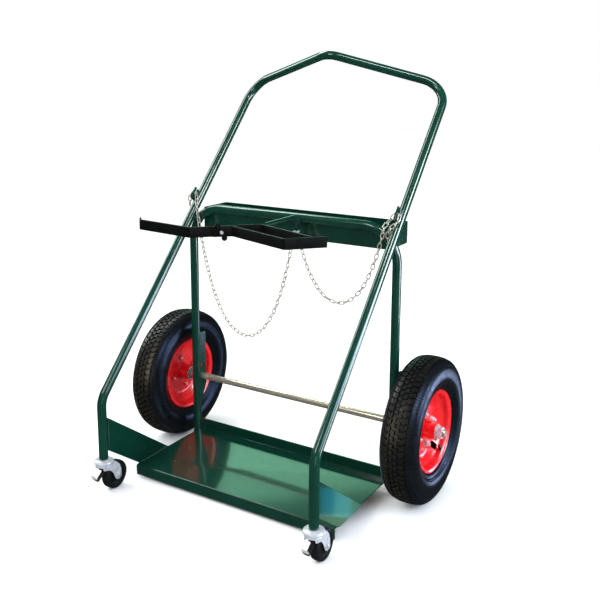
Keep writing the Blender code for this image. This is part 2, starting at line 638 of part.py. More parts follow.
# --- castors --------------------------------------------------------------------------------------
def make_castor(side, sign):
    """A stem plugged into the leg, with a fork that swivels under it and a wheel in the fork."""
    x = sign * HOOP_X
    cup_top = HOOP_FOOT_Z - GAP
    cup_low = cup_top - CUP_H
    stem_top = cup_top + STEM_LENGTH
    stem_r = TUBE_R - TUBE_WALL - 2 * GAP
    stem = [(stem_top, 0.0), (stem_top, stem_r - 0.002), (stem_top - 0.002, stem_r), (cup_top, stem_r),
            (cup_top, CUP_R - 0.0045), (cup_top - 0.004, CUP_R), (cup_low, CUP_R), (cup_low, 0.0)]
    turned(f"castor_stem_{side}", stem, "zinc", (x, 0.0, 0.0), axis="Z", steps=20, closed=False)

    yoke_r, yoke_t = YOKE
    yoke_top = cup_low - GAP
    fork = cylinder(f"castor_fork_{side}", yoke_r, yoke_t, "zinc", (x, 0.0, yoke_top - yoke_t / 2), count=20)
    cheek_x = CASTOR_WHEEL_W / 2 + 0.0025
    root = yoke_top - 0.001
    outline = [(-0.017, root), (-0.016, root - 0.015)]
    outline += arc(CASTOR_TRAIL, CASTOR_WHEEL_R, 0.0095, 215, 380, 8) + [(0.019, root)]
    for face in (-1, 1):
        cheek = plate(f"cheek_{side}_{face}", [outline], CHEEK_T, "zinc", (x + face * cheek_x, 0.0, 0.0),
                      UPRIGHT_YZ)
        use_as_tool(fork, to_mesh(cheek), "UNION")
    axle_at = (x, CASTOR_TRAIL, CASTOR_WHEEL_R)
    hinge = (x, BRAKE_Y, yoke_top - BRAKE_DROP)
    for name, radius, at in (("axle_hole", CASTOR_AXLE_R, axle_at), ("pin_hole", BRAKE_PIN_R, hinge)):
        hole = cylinder(f"{name}_{side}", radius + GAP, 4 * cheek_x, "zinc", at, (1, 0, 0), 12)
        use_as_tool(fork, hole, "DIFFERENCE")
    cylinder(f"brake_pin_{side}", BRAKE_PIN_R, 2 * cheek_x + CHEEK_T, "zinc", hinge, (1, 0, 0), 10)
    make_brake(side, hinge)

    head_t = 0.004
    bolt = cylinder(f"castor_axle_{side}", CASTOR_AXLE_R, 2 * cheek_x + 0.006, "zinc", axle_at, (1, 0, 0), 12)
    for face in (-1, 1):
        head_x = x + face * (cheek_x + CHEEK_T / 2 + GAP + head_t / 2)
        head = cylinder(f"axle_head_{side}_{face}", 0.0062, head_t, "zinc",
                        (head_x, CASTOR_TRAIL, CASTOR_WHEEL_R), (1, 0, 0), 6)
        use_as_tool(bolt, head, "UNION")

    half = CASTOR_WHEEL_W / 2 - GAP
    bore = CASTOR_AXLE_R + GAP
    profile = [(-half, bore), (half, bore), (half, CASTOR_TYRE_FLAT), (half - 0.004, CASTOR_WHEEL_R)]
    profile += [(-across, radius) for across, radius in reversed(profile[2:])]
    turned(f"castor_wheel_{side}", profile, "rubber", axle_at, steps=24)


def make_brake(side, hinge):
    """The foot brake: a bent sheet over its pin. Its rear edge tips towards the wheel's tread."""
    over_pin = BRAKE_PIN_R + GAP + BRAKE_SHEET / 2
    corners = [(0.0, 0.0130, -0.0120), (0.0, 0.0065, over_pin), (0.0, -0.0080, over_pin),
               (0.0, -0.0130, -0.0180), (0.0, -0.0380, -0.0340)]
    path = rounded_path(corners, [0.003, 0.003, 0.006], 3)
    half = CASTOR_WHEEL_W / 2 - 3 * GAP
    bm = bmesh.new()
    rows = [[bm.verts.new((edge_x, p.y, p.z)) for p in path] for edge_x in (-half, half)]
    for k in range(len(path) - 1):
        bm.faces.new((rows[0][k], rows[0][k + 1], rows[1][k + 1], rows[1][k]))
    obj = mesh_object(bm, f"brake_pedal_{side}", "black", hinge, smooth=False)
    shell = obj.modifiers.new("sheet", "SOLIDIFY")
    shell.thickness = BRAKE_SHEET
    shell.offset = 0.0


def build():
    make_main_hoop()
    make_inner_hoop()
    make_tool_tray()
    make_base_tray()
    make_gussets()
    make_axle_plates()
    make_axle()
    for side, sign in SIDES:
        make_wheel(side, sign)
        make_castor(side, sign)
    make_clamp()
    make_centre_rod()
    make_chain_anchor()
    make_chain_hooks()
    make_chains()


build()
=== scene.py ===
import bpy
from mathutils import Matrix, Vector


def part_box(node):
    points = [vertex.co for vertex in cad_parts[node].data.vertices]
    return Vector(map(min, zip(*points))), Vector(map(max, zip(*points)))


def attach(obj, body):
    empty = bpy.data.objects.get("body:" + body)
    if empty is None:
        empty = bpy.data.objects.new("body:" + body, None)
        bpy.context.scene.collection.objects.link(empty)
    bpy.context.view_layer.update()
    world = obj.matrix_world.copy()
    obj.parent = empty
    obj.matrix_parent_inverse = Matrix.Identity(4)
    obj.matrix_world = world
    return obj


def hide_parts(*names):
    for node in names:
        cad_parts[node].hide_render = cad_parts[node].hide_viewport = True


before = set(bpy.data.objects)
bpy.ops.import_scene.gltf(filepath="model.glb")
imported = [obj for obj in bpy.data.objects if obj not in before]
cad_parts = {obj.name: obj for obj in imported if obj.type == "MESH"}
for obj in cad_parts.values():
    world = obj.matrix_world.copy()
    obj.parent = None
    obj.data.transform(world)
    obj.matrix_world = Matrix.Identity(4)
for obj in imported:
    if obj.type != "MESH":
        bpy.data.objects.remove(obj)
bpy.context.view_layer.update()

import math

import bmesh
import bpy
from mathutils import Matrix, Vector
from mathutils.geometry import tessellate_polygon

SCENE = bpy.context.scene


# --- where things are ---
def middle(node):
    low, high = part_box(node)
    return (low + high) / 2


def x_span(node):
    low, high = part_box(node)
    return low.x, high.x


AXLE_FROM_LEGS = 0.4445
SHIFT = Vector((0.0, middle("axle").y - AXLE_FROM_LEGS, 0.0))   # below, y is measured from the legs
SIDES = (("left", -1), ("right", 1))
GAP = 0.0003                # between touching pieces

TUBE_R = 0.0127
TUBE_WALL = 0.0016
HOOP_X = 0.337              # half spacing of the main hoop's legs
HOOP_FOOT_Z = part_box("main_hoop")[0].z
HOOP_BEND_Z = 0.272         # where the legs start to lean back
HOOP_LEAN = 0.889           # metres back for each metre up
HOOP_CORNER_Z = 1.113
HOOP_APEX = (0.0, 0.632, 1.206)
HOOP_RADII = (0.060, 0.073, 0.080, 0.073, 0.060)
POST_X = 0.341              # inner hoop
POST_Y = 0.419
POST_FOOT_Z = 0.012
POST_TOP_Z = 0.750
POST_RADIUS = 0.098

LEAN = math.atan(HOOP_LEAN)
LEAN_UP = Vector((0, math.sin(LEAN), math.cos(LEAN)))       # along the leaning tubes
LEAN_FRONT = Vector((0, -math.cos(LEAN), math.sin(LEAN)))   # out of their front

TRAY_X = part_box("base_tray")[1].x
TRAY_FLOOR_Z = 0.036
TRAY_SHEET = 0.003
TRAY_BENDS = (0.0025, 0.0055)           # inside and outside radius of its folds
TRAY_DRAIN = (-0.250, 0.198, 0.004)     # x, y and radius
BOX_SHEET = 0.002
BOX_CORNER = 0.0045
GUSSET_T = 0.004
GUSSET_X = TRAY_X + GAP + GUSSET_T / 2
MOUNT_T = 0.006             # plate that carries the axle
SPARE_HOLE = (0.035, 0.0065)            # above the axle, and its radius

WHEEL_R = 0.200
WHEEL_X = 0.421
WHEEL_Y = AXLE_FROM_LEGS
AXLE_R = 0.010
AXLE_BORE = 0.0103          # holes that the axle passes
AXLE_THREAD = 0.022
NUT_CORNER_R = 0.0165

TYRE_HALF = 0.049           # half width
TYRE_MID_R = 0.156          # radius of its widest line
TREAD_DEPTH = 0.0050
TREAD_PITCHES = 72          # tread blocks round a tyre
SIDE_BLOCK = (0.0142, 0.0306)           # reach of the outer blocks along the section
RIB_STATIONS = (0.0326, 0.0365, 0.0405, 0.0445, 0.0485, 0.0515)
RIB_HALF = 0.0023
RIB_HEIGHT = 0.0012
RIM_SHEET = 0.0022
RIM_BOLTS = 4
RIM_BOLT_CIRCLE = 0.048
RIM_BOLT_START = -77        # degrees round the axle, 0 towards +Y
VALVE_TURN = {"left": -90, "right": -52}
VALVE_HOLE_R = 0.0840
HUB_R = 0.0240
HUB_BORE_R = 0.0212

CLAMP_Z = middle("clamp_bar").z
CLAMP_H = 0.028
CLAMP_T = 0.005
CLAMP_BEND = Vector((-0.098, 0.0985))
CLAMP_PEAK = Vector((0.033, 0.236))
CLAMP_BAR = [(-0.3020, 0.1400), (-0.2820, 0.1165), tuple(CLAMP_BEND), tuple(CLAMP_PEAK), (0.2265, 0.1650)]
ARM_END = [(0.1870, 0.1050), (0.2590, 0.1860)]
ARM_TAB = (-0.020, 0.031)   # the arm's flat stretch on the bar, behind and ahead of the bolt
BOLT_R = 0.0040
BOLT_HOLE_R = 0.0043
BOLT_REACH = 0.027
WING_BOSS_T = 0.0090
WING_REACH = 0.0185         # centre of each wing's round end
WING_END_R = 0.0075
WING_TILT = math.radians(28)

ROD_X = 0.040               # centre rod that carries the clamp
ROD_Z = 0.758
ROD_R = 0.0055
ROD_DROP_Y = POST_Y - TUBE_R - ROD_R - GAP
ANCHOR_BOLT = (0.046, 0.7147)           # x and z
HOOK_Z = 0.769              # chain hooks on the leaning tubes
HOOK_T = 0.004
LINK_PITCH = 0.0150
LINK_STRAIGHT = 0.0090
LINK_R = 0.0045             # middle of the wire round a link's end
WIRE_R = 0.0015
CHAIN_LENGTH = {"left": 0.825, "right": 0.508}

CUP_R = 0.0275              # castor
CUP_H = 0.0095
STEM_LENGTH = 0.045
YOKE_R = 0.0235
YOKE_TOP = HOOP_FOOT_Z - 2 * GAP - CUP_H
SKIRT_H = 0.0080
CHEEK_X = 0.0155
CHEEK_T = 0.0026
BRAKE_HINGE = (-0.0105, YOKE_TOP - 0.0130)
BRAKE_PIN_R = 0.0015
PEDAL_T = 0.0024
PEDAL_HALF = (0.0058, 0.0092)           # half width of its strap and of its tip
PEDAL_TIP = (0.0225, 0.0165)            # length of the wide tip, and of its pale part


# --- mesh helpers ---
def add_object(name, bm):
    mesh = bpy.data.meshes.new(name)
    bm.to_mesh(mesh)
    bm.free()
    obj = bpy.data.objects.new(name, mesh)
    SCENE.collection.objects.link(obj)
    return obj


def cut_away(obj, cutter):
    bmesh.ops.recalc_face_normals(cutter, faces=cutter.faces)
    tool = add_object(obj.name + "_cut", cutter)
    boolean = obj.modifiers.new("cut", "BOOLEAN")
    boolean.operation = "DIFFERENCE"
    boolean.solver = "EXACT"
    boolean.object = tool
    bpy.context.view_layer.update()
    graph = bpy.context.evaluated_depsgraph_get()
    cut = bpy.data.meshes.new_from_object(obj.evaluated_get(graph))
    obj.modifiers.clear()
    obj.data = cut
    bpy.data.objects.remove(tool)


def finished(bm, name, body, mats, replaces=(), sharp=32, cutters=()):
    """Makes the bmesh, whose y is measured from the legs, into a piece that rides on a body."""
    bmesh.ops.recalc_face_normals(bm, faces=bm.faces)
    obj = add_object(name, bm)
    for mat in mats:
        obj.data.materials.append(mat)
    for cutter in cutters:
        cut_away(obj, cutter)
    obj.data.transform(Matrix.Translation(SHIFT))
    obj.data.shade_smooth()
    obj.data.set_sharp_from_angle(angle=math.radians(sharp))
    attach(obj, body)
    if replaces:
        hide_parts(*replaces)


def rounded_path(corners, radii, steps=14):
    """Points along straight runs through the corners, each inner corner turned with its radius."""
    pts = [Vector(c).to_3d() for c in corners]
    path = [pts[0]]
    for before, here, after, radius in zip(pts, pts[1:], pts[2:], radii):
        into = (here - before).normalized()
        out = (after - here).normalized()
        angle = into.angle(out)
        start = here - into * radius * math.tan(angle / 2)
        inward = (out - into * into.dot(out)).normalized()
        centre = start + inward * radius
        for k in range(steps + 1):
            turned = angle * k / steps
            path.append(centre - inward * radius * math.cos(turned) + into * radius * math.sin(turned))
    path.append(pts[-1])
    return path


def circle(u, v, radius, count=32):
    angles = [math.tau * k / count for k in range(count)]
    return [(u + radius * math.cos(a), v + radius * math.sin(a)) for a in angles]


def arc(u, v, radius, start, end, count):
    angles = [math.radians(start + (end - start) * k / count) for k in range(count + 1)]
    return [(u + radius * math.cos(a), v + radius * math.sin(a)) for a in angles]


def rounded_rect(half_u, half_v, r, steps, v=0.0):
    """A rectangle with round corners, its middle at (0, v)."""
    loop = []
    for k, (a, b) in enumerate(((1, 1), (-1, 1), (-1, -1), (1, -1))):
        loop += arc(a * (half_u - r), v + b * (half_v - r), r, 90 * k, 90 * k + 90, steps)
    return loop


def round_axle(angle):
    """The direction at an angle round the axle, 0 towards +Y."""
    return Vector((0, math.cos(angle), math.sin(angle)))


def strip(bm, a, b, material=0):
    """A closed band of faces between two rings of points."""
    for k in range(len(a)):
        m = (k + 1) % len(a)
        bm.faces.new((a[k], a[m], b[m], b[k])).material_index = material


def sweep(bm, path, section, closed=False, up=None, size=None, caps=True):
    """Carries a closed 2D section along the path. size scales the section at each point."""
    pts = [Vector(p) for p in path]
    count = len(pts)
    side = None
    rings = []
    for k, here in enumerate(pts):
        before = pts[k - 1] if k or closed else here
        after = pts[(k + 1) % count] if k < count - 1 or closed else here
        ahead = (after - before).normalized()
        stretch = 1.0
        if up is not None:
            side = ahead.cross(up).normalized()
            top = Vector(up)
            if before is not here and after is not here:
                stretch = 1.0 / math.cos((here - before).angle(after - here, 0.0) / 2)
        else:
            if side is None:
                side = ahead.orthogonal().normalized()
            side = (side - ahead * side.dot(ahead)).normalized()
            top = ahead.cross(side)
        scale = size[k] if size else 1.0
        rings.append([bm.verts.new(here + side * u * scale * stretch + top * v * scale) for u, v in section])
    for a, b in zip(rings, rings[1:]):
        strip(bm, a, b)
    if closed:
        strip(bm, rings[-1], rings[0])
    elif caps:
        bm.faces.new(rings[0])
        bm.faces.new(rings[-1])
    return rings


def pipe(bm, path):
    """The frame's tube along a path, open at its ends."""
    outer = sweep(bm, path, circle(0, 0, TUBE_R, 40), caps=False)
    inner = sweep(bm, path, circle(0, 0, TUBE_R - TUBE_WALL, 40), caps=False)
    strip(bm, outer[0], inner[0])
    strip(bm, outer[-1], inner[-1])


def turn(bm, profile, at, axis="X", steps=96, closed=True, face=1):
    """Turns a profile of (along, radius) round the X or Z axis through a point."""
    at = Vector(at)
    rings = []
    for along, radius in profile:
        count = 1 if radius < 1e-7 else steps
        ring = []
        for k in range(count):
            u, v = radius * math.cos(math.tau * k / steps), radius * math.sin(math.tau * k / steps)
            ring.append(bm.verts.new(at + Vector((face * along, u, v) if axis == "X" else (u, v, along))))
        rings.append(ring)
    pairs = list(zip(rings, rings[1:]))
    if closed:
        pairs.append((rings[-1], rings[0]))
    for a, b in pairs:
        if len(a) > 1 and len(b) > 1:
            strip(bm, a, b)
        elif len(a) > 1 or len(b) > 1:
            ring, tip = (a, b[0]) if len(a) > 1 else (b, a[0])
            for k in range(steps):
                bm.faces.new((ring[k], ring[(k + 1) % steps], tip))


def aimed(at, direction):
    """A matrix that carries +Z to a direction at a point."""
    spin = Vector(direction).to_track_quat("Z", "Y").to_matrix().to_4x4()
    return Matrix.Translation(Vector(at)) @ spin


def turned_along(bm, profile, at, direction, steps=48):
    """Turns an open profile that starts and ends on the axis round a line through a point."""
    made = bmesh.new()
    turn(made, profile, (0, 0, 0), "Z", steps, closed=False)
    merge(bm, made, aimed(at, direction))


def merge(bm, other, matrix):
    mesh = bpy.data.meshes.new("part")
    other.to_mesh(mesh)
    other.free()
    mesh.transform(matrix)
    bm.from_mesh(mesh)
    bpy.data.meshes.remove(mesh)


def drill(radius, matrix):
    """A round cutter along the matrix's Z axis."""
    cutter = bmesh.new()
    bmesh.ops.create_cone(cutter, cap_ends=True, segments=32, radius1=radius, radius2=radius, depth=0.02)
    bmesh.ops.transform(cutter, verts=cutter.verts, matrix=matrix)
    return cutter


def threads(start, end, radius, depth, count):
    """Part of a turned profile: ridges along a screw."""
    return [(start + (end - start) * k / (count * 2), radius - (depth if k % 2 else 0.0))
            for k in range(count * 2)]


def inset(loop, amount):
    """Moves a 2D loop to its left by an amount."""
    made = []
    for k, here in enumerate(loop):
        a, b, c = Vector(loop[k - 1]), Vector(here), Vector(loop[(k + 1) % len(loop)])
        one, two = (b - a).normalized(), (c - b).normalized()
        left = Vector((-one.y, one.x))
        both = (left + Vector((-two.y, two.x))).normalized()
        made.append(b + both * (amount / max(0.4, both.dot(left))))
    return made


def wind(loop, anticlockwise):
    area = sum(a[0] * b[1] - b[0] * a[1] for a, b in zip(loop, loop[1:] + loop[:1]))
    return loop if (area > 0) == anticlockwise else loop[::-1]


def plate(bm, loops, thickness, matrix, bevel=0.0006):
    """A flat plate with bevelled edges: the first loop is its edge, the rest its holes."""
    half = thickness / 2
    flat, low, high = [], [], []
    for k, loop in enumerate(loops):
        loop = wind([tuple(p) for p in loop], k == 0)
        small = inset(loop, bevel)
        rings = []
        for pts, z in ((small, -half), (loop, bevel - half), (loop, half - bevel), (small, half)):
            rings.append([bm.verts.new(matrix @ Vector((p[0], p[1], z))) for p in pts])
        for a, b in zip(rings, rings[1:]):
            strip(bm, a, b)
        flat.append([Vector((p[0], p[1], 0.0)) for p in small])
        low += rings[0]
        high += rings[-1]
    for tri in tessellate_polygon(flat):
        for ring in (low, high):
            bm.faces.new([ring[i] for i in tri])


def stand(at, across, upward):
    """A matrix that carries a plate's (u, v) plane to two directions at a point."""
    across, upward = Vector(across), Vector(upward)
    turned = Matrix((across, upward, across.cross(upward))).transposed().to_4x4()
    return Matrix.Translation(Vector(at)) @ turned


def side_on(x):
    """A matrix for a plate across the cart at x: its (u, v) are y and z."""
    return stand((x, 0, 0), (0, 1, 0), (0, 0, 1))


def weld(bm, path, radius):
    """A bead of weld along the path, with the ripples that a stitched bead has."""
    ripple = 0.0026
    pts = [Vector(p) for p in path]
    total = sum((b - a).length for a, b in zip(pts, pts[1:]))
    count = max(8, int(total / (ripple / 5)))
    fine, size = [], []
    gone, k = 0.0, 0
    for i in range(count + 1):
        s = total * i / count
        while k < len(pts) - 2 and gone + (pts[k + 1] - pts[k]).length < s:
            gone += (pts[k + 1] - pts[k]).length
            k += 1
        step = pts[k + 1] - pts[k]
        fine.append(pts[k] + step * min(1.0, (s - gone) / step.length))
        end = min(1.0, (min(s, total - s) + 0.0006) / (1.6 * radius))
        size.append(radius * math.sqrt(end) * (1 + 0.10 * math.cos(math.tau * s / ripple)))
    sweep(bm, fine, circle(0, 0, 1.0, 10), size=size)


def hex_nut(bm, at, direction, corner_r, thickness, start, bore=0.0):
    """A hexagon nut with its corners chamfered at both ends; without a bore it is a bolt's head."""
    count, lip = 48, 0.0008
    matrix = aimed(at, direction)
    flat, half = corner_r * math.cos(math.pi / 6), thickness / 2
    crown = flat - 0.0002
    angles = [math.tau * k / count for k in range(count)]
    reach = [flat / math.cos((a - start) % (math.pi / 3) - math.pi / 6) for a in angles]
    top = [(crown * 0.985, half)] * count
    flank = [(r, half - (r - crown) * 0.55) for r in reach]
    levels = [[(r, -z) for r, z in top], [(r, -z) for r, z in flank], flank, top]
    if bore:
        for point in ((bore + lip, half), (bore, half - lip), (bore, lip - half), (bore + lip, -half)):
            levels.append([point] * count)
    rings = [[bm.verts.new(matrix @ Vector((r * math.cos(a), r * math.sin(a), z)))
              for a, (r, z) in zip(angles, level)] for level in levels]
    for a, b in zip(rings, rings[1:]):
        strip(bm, a, b)
    if bore:
        strip(bm, rings[-1], rings[0])
    else:
        bm.faces.new(rings[0])
        bm.faces.new(rings[-1])


# --- materials ---
def set_inputs(node, values):
    for name, value in values.items():
        node.inputs[name].default_value = value


def noise_of(nodes, links, scale, detail=3.0):
    where = nodes.new("ShaderNodeTexCoord")
    texture = nodes.new("ShaderNodeTexNoise")
    set_inputs(texture, {"Scale": scale, "Detail": detail})
    links.new(where.outputs["Object"], texture.inputs["Vector"])
    return texture


def finish_material(name, dark, light, rough, metallic=0.0, tone_scale=9.0, rough_scale=60.0,
                    bump=(), coat=0.0, specular=0.5, painted_sheen_tint=None):
    """Two close tones, a roughness that varies between two values, and fine bumps."""
    mat = bpy.data.materials.new(name)
    mat.use_nodes = True
    nodes, links = mat.node_tree.nodes, mat.node_tree.links
    surface = nodes["Principled BSDF"]
    tone = noise_of(nodes, links, tone_scale)
    ramp = nodes.new("ShaderNodeValToRGB")
    ramp.color_ramp.elements[0].position = 0.35
    ramp.color_ramp.elements[1].position = 0.65
    ramp.color_ramp.elements[0].color = (*dark, 1)
    ramp.color_ramp.elements[1].color = (*light, 1)
    links.new(tone.outputs["Fac"], ramp.inputs["Fac"])
    links.new(ramp.outputs["Color"], surface.inputs["Base Color"])
    gloss = noise_of(nodes, links, rough_scale)
    span = nodes.new("ShaderNodeMapRange")
    set_inputs(span, {"From Min": 0.3, "From Max": 0.7, "To Min": rough[0], "To Max": rough[1]})
    links.new(gloss.outputs["Fac"], span.inputs["Value"])
    links.new(span.outputs["Result"], surface.inputs["Roughness"])
    set_inputs(surface, {"Metallic": metallic, "Specular IOR Level": specular})
    # A specular tint colours every reflection on the surface: a painted sheen colour.
    if painted_sheen_tint:
        set_inputs(surface, {"Specular Tint": (*painted_sheen_tint, 1)})
    if coat:
        set_inputs(surface, {"Coat Weight": coat, "Coat Roughness": 0.05})
    before = None
    for scale, depth in bump:
        grain = noise_of(nodes, links, scale, 2.0)
        relief = nodes.new("ShaderNodeBump")
        set_inputs(relief, {"Strength": 1.0, "Distance": depth})
        links.new(grain.outputs["Fac"], relief.inputs["Height"])
        if before:
            links.new(before.outputs["Normal"], relief.inputs["Normal"])
        before = relief
    if before:
        links.new(before.outputs["Normal"], surface.inputs["Normal"])
        if coat:
            links.new(before.outputs["Normal"], surface.inputs["Coat Normal"])
    return mat


GREEN = finish_material("green_enamel", (0.0010, 0.026, 0.0155), (0.0014, 0.033, 0.0200), (0.16, 0.24),
                        bump=((900, 0.000012), (120, 0.00003)), coat=0.75)
RED = finish_material("red_enamel", (0.62, 0.004, 0.008), (0.74, 0.006, 0.011), (0.20, 0.30),
                      bump=((900, 0.000012), (150, 0.00003)), coat=0.7)
TREAD = finish_material("tyre_tread", (0.0035, 0.0034, 0.0032), (0.0075, 0.0072, 0.0066), (0.34, 0.50),
                        tone_scale=25, bump=((1500, 0.00003),), specular=0.45)
# The sidewall's bluish specular tint is a painted blue sheen. It stands in for a bluish light in every
# reflection on the sidewall and its ribs.
SIDEWALL = finish_material("tyre_sidewall", (0.0032, 0.0030, 0.0029), (0.0052, 0.0049, 0.0046),
                           (0.26, 0.38), tone_scale=20, bump=((1200, 0.00002), (220, 0.00004)),
                           specular=0.65, painted_sheen_tint=(0.50, 0.66, 1.0))
TUBE_RUBBER = finish_material("inner_tube_rubber", (0.012, 0.012, 0.012), (0.02, 0.02, 0.02), (0.5, 0.65),
                              bump=((900, 0.00003),))
BLACK = finish_material("satin_black", (0.0016, 0.0016, 0.0015), (0.0032, 0.0032, 0.0031), (0.30, 0.42),
                        bump=((700, 0.00002), (140, 0.00003)), specular=0.35)
CASTOR_ZINC = finish_material("castor_zinc", (0.50, 0.53, 0.58), (0.62, 0.65, 0.71), (0.24, 0.36),
                              metallic=0.35, tone_scale=60, bump=((500, 0.00002),))
CASTOR_RUBBER = finish_material("castor_rubber", (0.0045, 0.0044, 0.0042), (0.0085, 0.0083, 0.0080),
                                (0.30, 0.42), bump=((900, 0.00002),))
ZINC = finish_material("zinc", (0.56, 0.57, 0.59), (0.76, 0.77, 0.79), (0.22, 0.36), metallic=0.55,
                       tone_scale=60, bump=((500, 0.00002),))
CHAIN_ZINC = finish_material("chain_zinc", (0.58, 0.54, 0.45), (0.78, 0.74, 0.64), (0.16, 0.30),
                             metallic=0.6, tone_scale=90)
AXLE_ZINC = finish_material("axle_zinc", (0.74, 0.66, 0.52), (0.82, 0.74, 0.60), (0.20, 0.27),
                            metallic=0.8, tone_scale=12, rough_scale=30)
SEAL = finish_material("bearing_seal", (0.02, 0.02, 0.02), (0.035, 0.035, 0.035), (0.4, 0.5),
                       bump=((900, 0.00002),))
GREY_TIP = finish_material("pedal_tip", (0.34, 0.34, 0.31), (0.44, 0.44, 0.41), (0.35, 0.5),
                           bump=((700, 0.00002),))


# --- frame ---
def follow_lean(z):
    return (z - HOOP_BEND_Z) * HOOP_LEAN


def hoop_path():
    left = [(-HOOP_X, 0.0, HOOP_FOOT_Z), (-HOOP_X, 0.0, HOOP_BEND_Z),
            (-HOOP_X, follow_lean(HOOP_CORNER_Z), HOOP_CORNER_Z)]
    right = [(HOOP_X, y, z) for _, y, z in reversed(left)]
    return rounded_path(left + [HOOP_APEX] + right, HOOP_RADII)


def post_path():
    corners = [(x, POST_Y, z) for x, z in ((-POST_X, POST_FOOT_Z), (-POST_X, POST_TOP_Z),
                                           (POST_X, POST_TOP_Z), (POST_X, POST_FOOT_Z))]
    return rounded_path(corners, [POST_RADIUS] * 2, 22)


def make_hoops():
    for piece, node, path in (("main_hoop_tube", "main_hoop", hoop_path()),
                              ("inner_hoop_tube", "inner_hoop", post_path())):
        bm = bmesh.new()
        pipe(bm, path)
        finished(bm, piece, "frame", [GREEN], [node], sharp=50)


def make_base_tray():
    low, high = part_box("base_tray")
    front, back = low.y - SHIFT.y, high.y - SHIFT.y
    floor, sheet = TRAY_FLOOR_Z, TRAY_SHEET
    in_r, out_r = TRAY_BENDS
    loop = [(front, low.z), (front + sheet, low.z)]
    loop += arc(front + sheet + in_r, floor - sheet - in_r, in_r, 180, 90, 6)
    loop += arc(back - out_r, floor - sheet + out_r, out_r, -90, 0, 8)
    loop += [(back, high.z), (back - sheet, high.z)]
    loop += arc(back - sheet - in_r, floor + in_r, in_r, 0, -90, 6)
    loop += arc(front + out_r, floor - out_r, out_r, 90, 180, 8)
    bm = bmesh.new()
    plate(bm, [loop], 2 * TRAY_X, side_on(0), 0.0005)
    drain_x, drain_y, drain_r = TRAY_DRAIN
    drain = drill(drain_r, Matrix.Translation((drain_x, drain_y, floor)))
    finished(bm, "base_tray_sheet", "frame", [GREEN], ["base_tray"], cutters=[drain])


def make_tool_tray():
    low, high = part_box("tool_tray")
    half_y, mid_y = (high.y - low.y) / 2, (high.y + low.y) / 2 - SHIFT.y
    sheet, b = BOX_SHEET, 0.0005
    inner = low.z + sheet
    levels = [(0.0030, low.z), (0.0012, low.z + 0.0004), (0.0, low.z + 0.003), (0.0, high.z - b),
              (b, high.z), (sheet - b, high.z), (sheet, high.z - b), (sheet, inner + 0.0022),
              (sheet + 0.0008, inner + 0.0006), (sheet + 0.0022, inner)]
    bm = bmesh.new()
    rings = []
    for back, z in levels:
        loop = rounded_rect(high.x - back, half_y - back, max(BOX_CORNER - back, 0.0004), 6, v=mid_y)
        rings.append([bm.verts.new((u, v, z)) for u, v in loop])
    for a, b in zip(rings, rings[1:]):
        strip(bm, a, b)
    bm.faces.new(rings[0])
    bm.faces.new(rings[-1])
    finished(bm, "tool_tray_sheet", "frame", [GREEN], ["tool_tray"])


def make_plates():
    leg_y = math.sqrt(TUBE_R ** 2 - (HOOP_X - GUSSET_X - GUSSET_T / 2) ** 2) + GAP
    low = TRAY_FLOOR_Z - TRAY_SHEET
    gusset = [(leg_y, 0.121), (0.134, low), (0.262, low), (leg_y, 0.218)]
    near = POST_Y + TUBE_R + GAP
    mount = [(near, 0.100), (0.464, 0.170), (0.464, 0.343), (near, 0.346)]
    spare_up, spare_r = SPARE_HOLE
    holes = [circle(WHEEL_Y, WHEEL_R, AXLE_BORE, 40), circle(WHEEL_Y, WHEEL_R + spare_up, spare_r, 28)]
    for side, sign in SIDES:
        bm = bmesh.new()
        plate(bm, [gusset], GUSSET_T, side_on(sign * GUSSET_X))
        finished(bm, f"gusset_plate_{side}", "frame", [GREEN], [f"side_gusset_{side}"])
        bm = bmesh.new()
        plate(bm, [mount] + holes, MOUNT_T, side_on(sign * POST_X), 0.0008)
        finished(bm, f"axle_mount_{side}", "frame", [GREEN], [f"axle_plate_{side}"])


def weld_plates(bm, sign):
    """Beads between a leg, its gusset, the base tray, a post and its axle plate."""
    for face in (-1, 1):
        x = sign * GUSSET_X + face * 0.0022
        weld(bm, [(x, 0.0120, 0.124), (x, 0.0120, 0.216)], 0.0026)
        x = sign * POST_X + face * 0.0032
        weld(bm, [(x, POST_Y + TUBE_R, 0.104), (x, POST_Y + TUBE_R, 0.342)], 0.0027)
    x = sign * (TRAY_X - 0.0004)
    weld(bm, [(x, 0.138, TRAY_FLOOR_Z + 0.0002), (x, 0.258, TRAY_FLOOR_Z + 0.0002)], 0.0022)
    x = sign * (POST_X - TUBE_R + 0.0004)
    weld(bm, [(x, 0.4208, 0.036), (x, 0.4208, 0.064)], 0.0026)


def weld_hook(bm, sign):
    foot = Vector((sign * HOOP_X, follow_lean(HOOK_Z), HOOK_Z)) + LEAN_FRONT * 0.0128
    for face in (-1, 1):
        start = foot + Vector((face * HOOK_T / 2, 0, 0))
        weld(bm, [start - LEAN_UP * 0.0180, start + LEAN_UP * 0.0180], 0.0020)


def weld_crossing(bm, sign):
    """Beads where the inner hoop's bend passes nearest to the leaning tube."""
    foot = Vector((sign * HOOP_X, 0, HOOP_BEND_Z))
    bend = [p for p in post_path() if p.x * sign > 0.2 and p.z > 0.45]
    here = min(bend, key=lambda p: (p - foot - LEAN_UP * (p - foot).dot(LEAN_UP)).length)
    meet = (here + foot + LEAN_UP * (here - foot).dot(LEAN_UP)) / 2
    for face in (-1, 1):
        at = meet + Vector((face * 0.0045, 0, 0))
        weld(bm, [at - LEAN_UP * 0.014, at, at + LEAN_UP * 0.014], 0.0034)


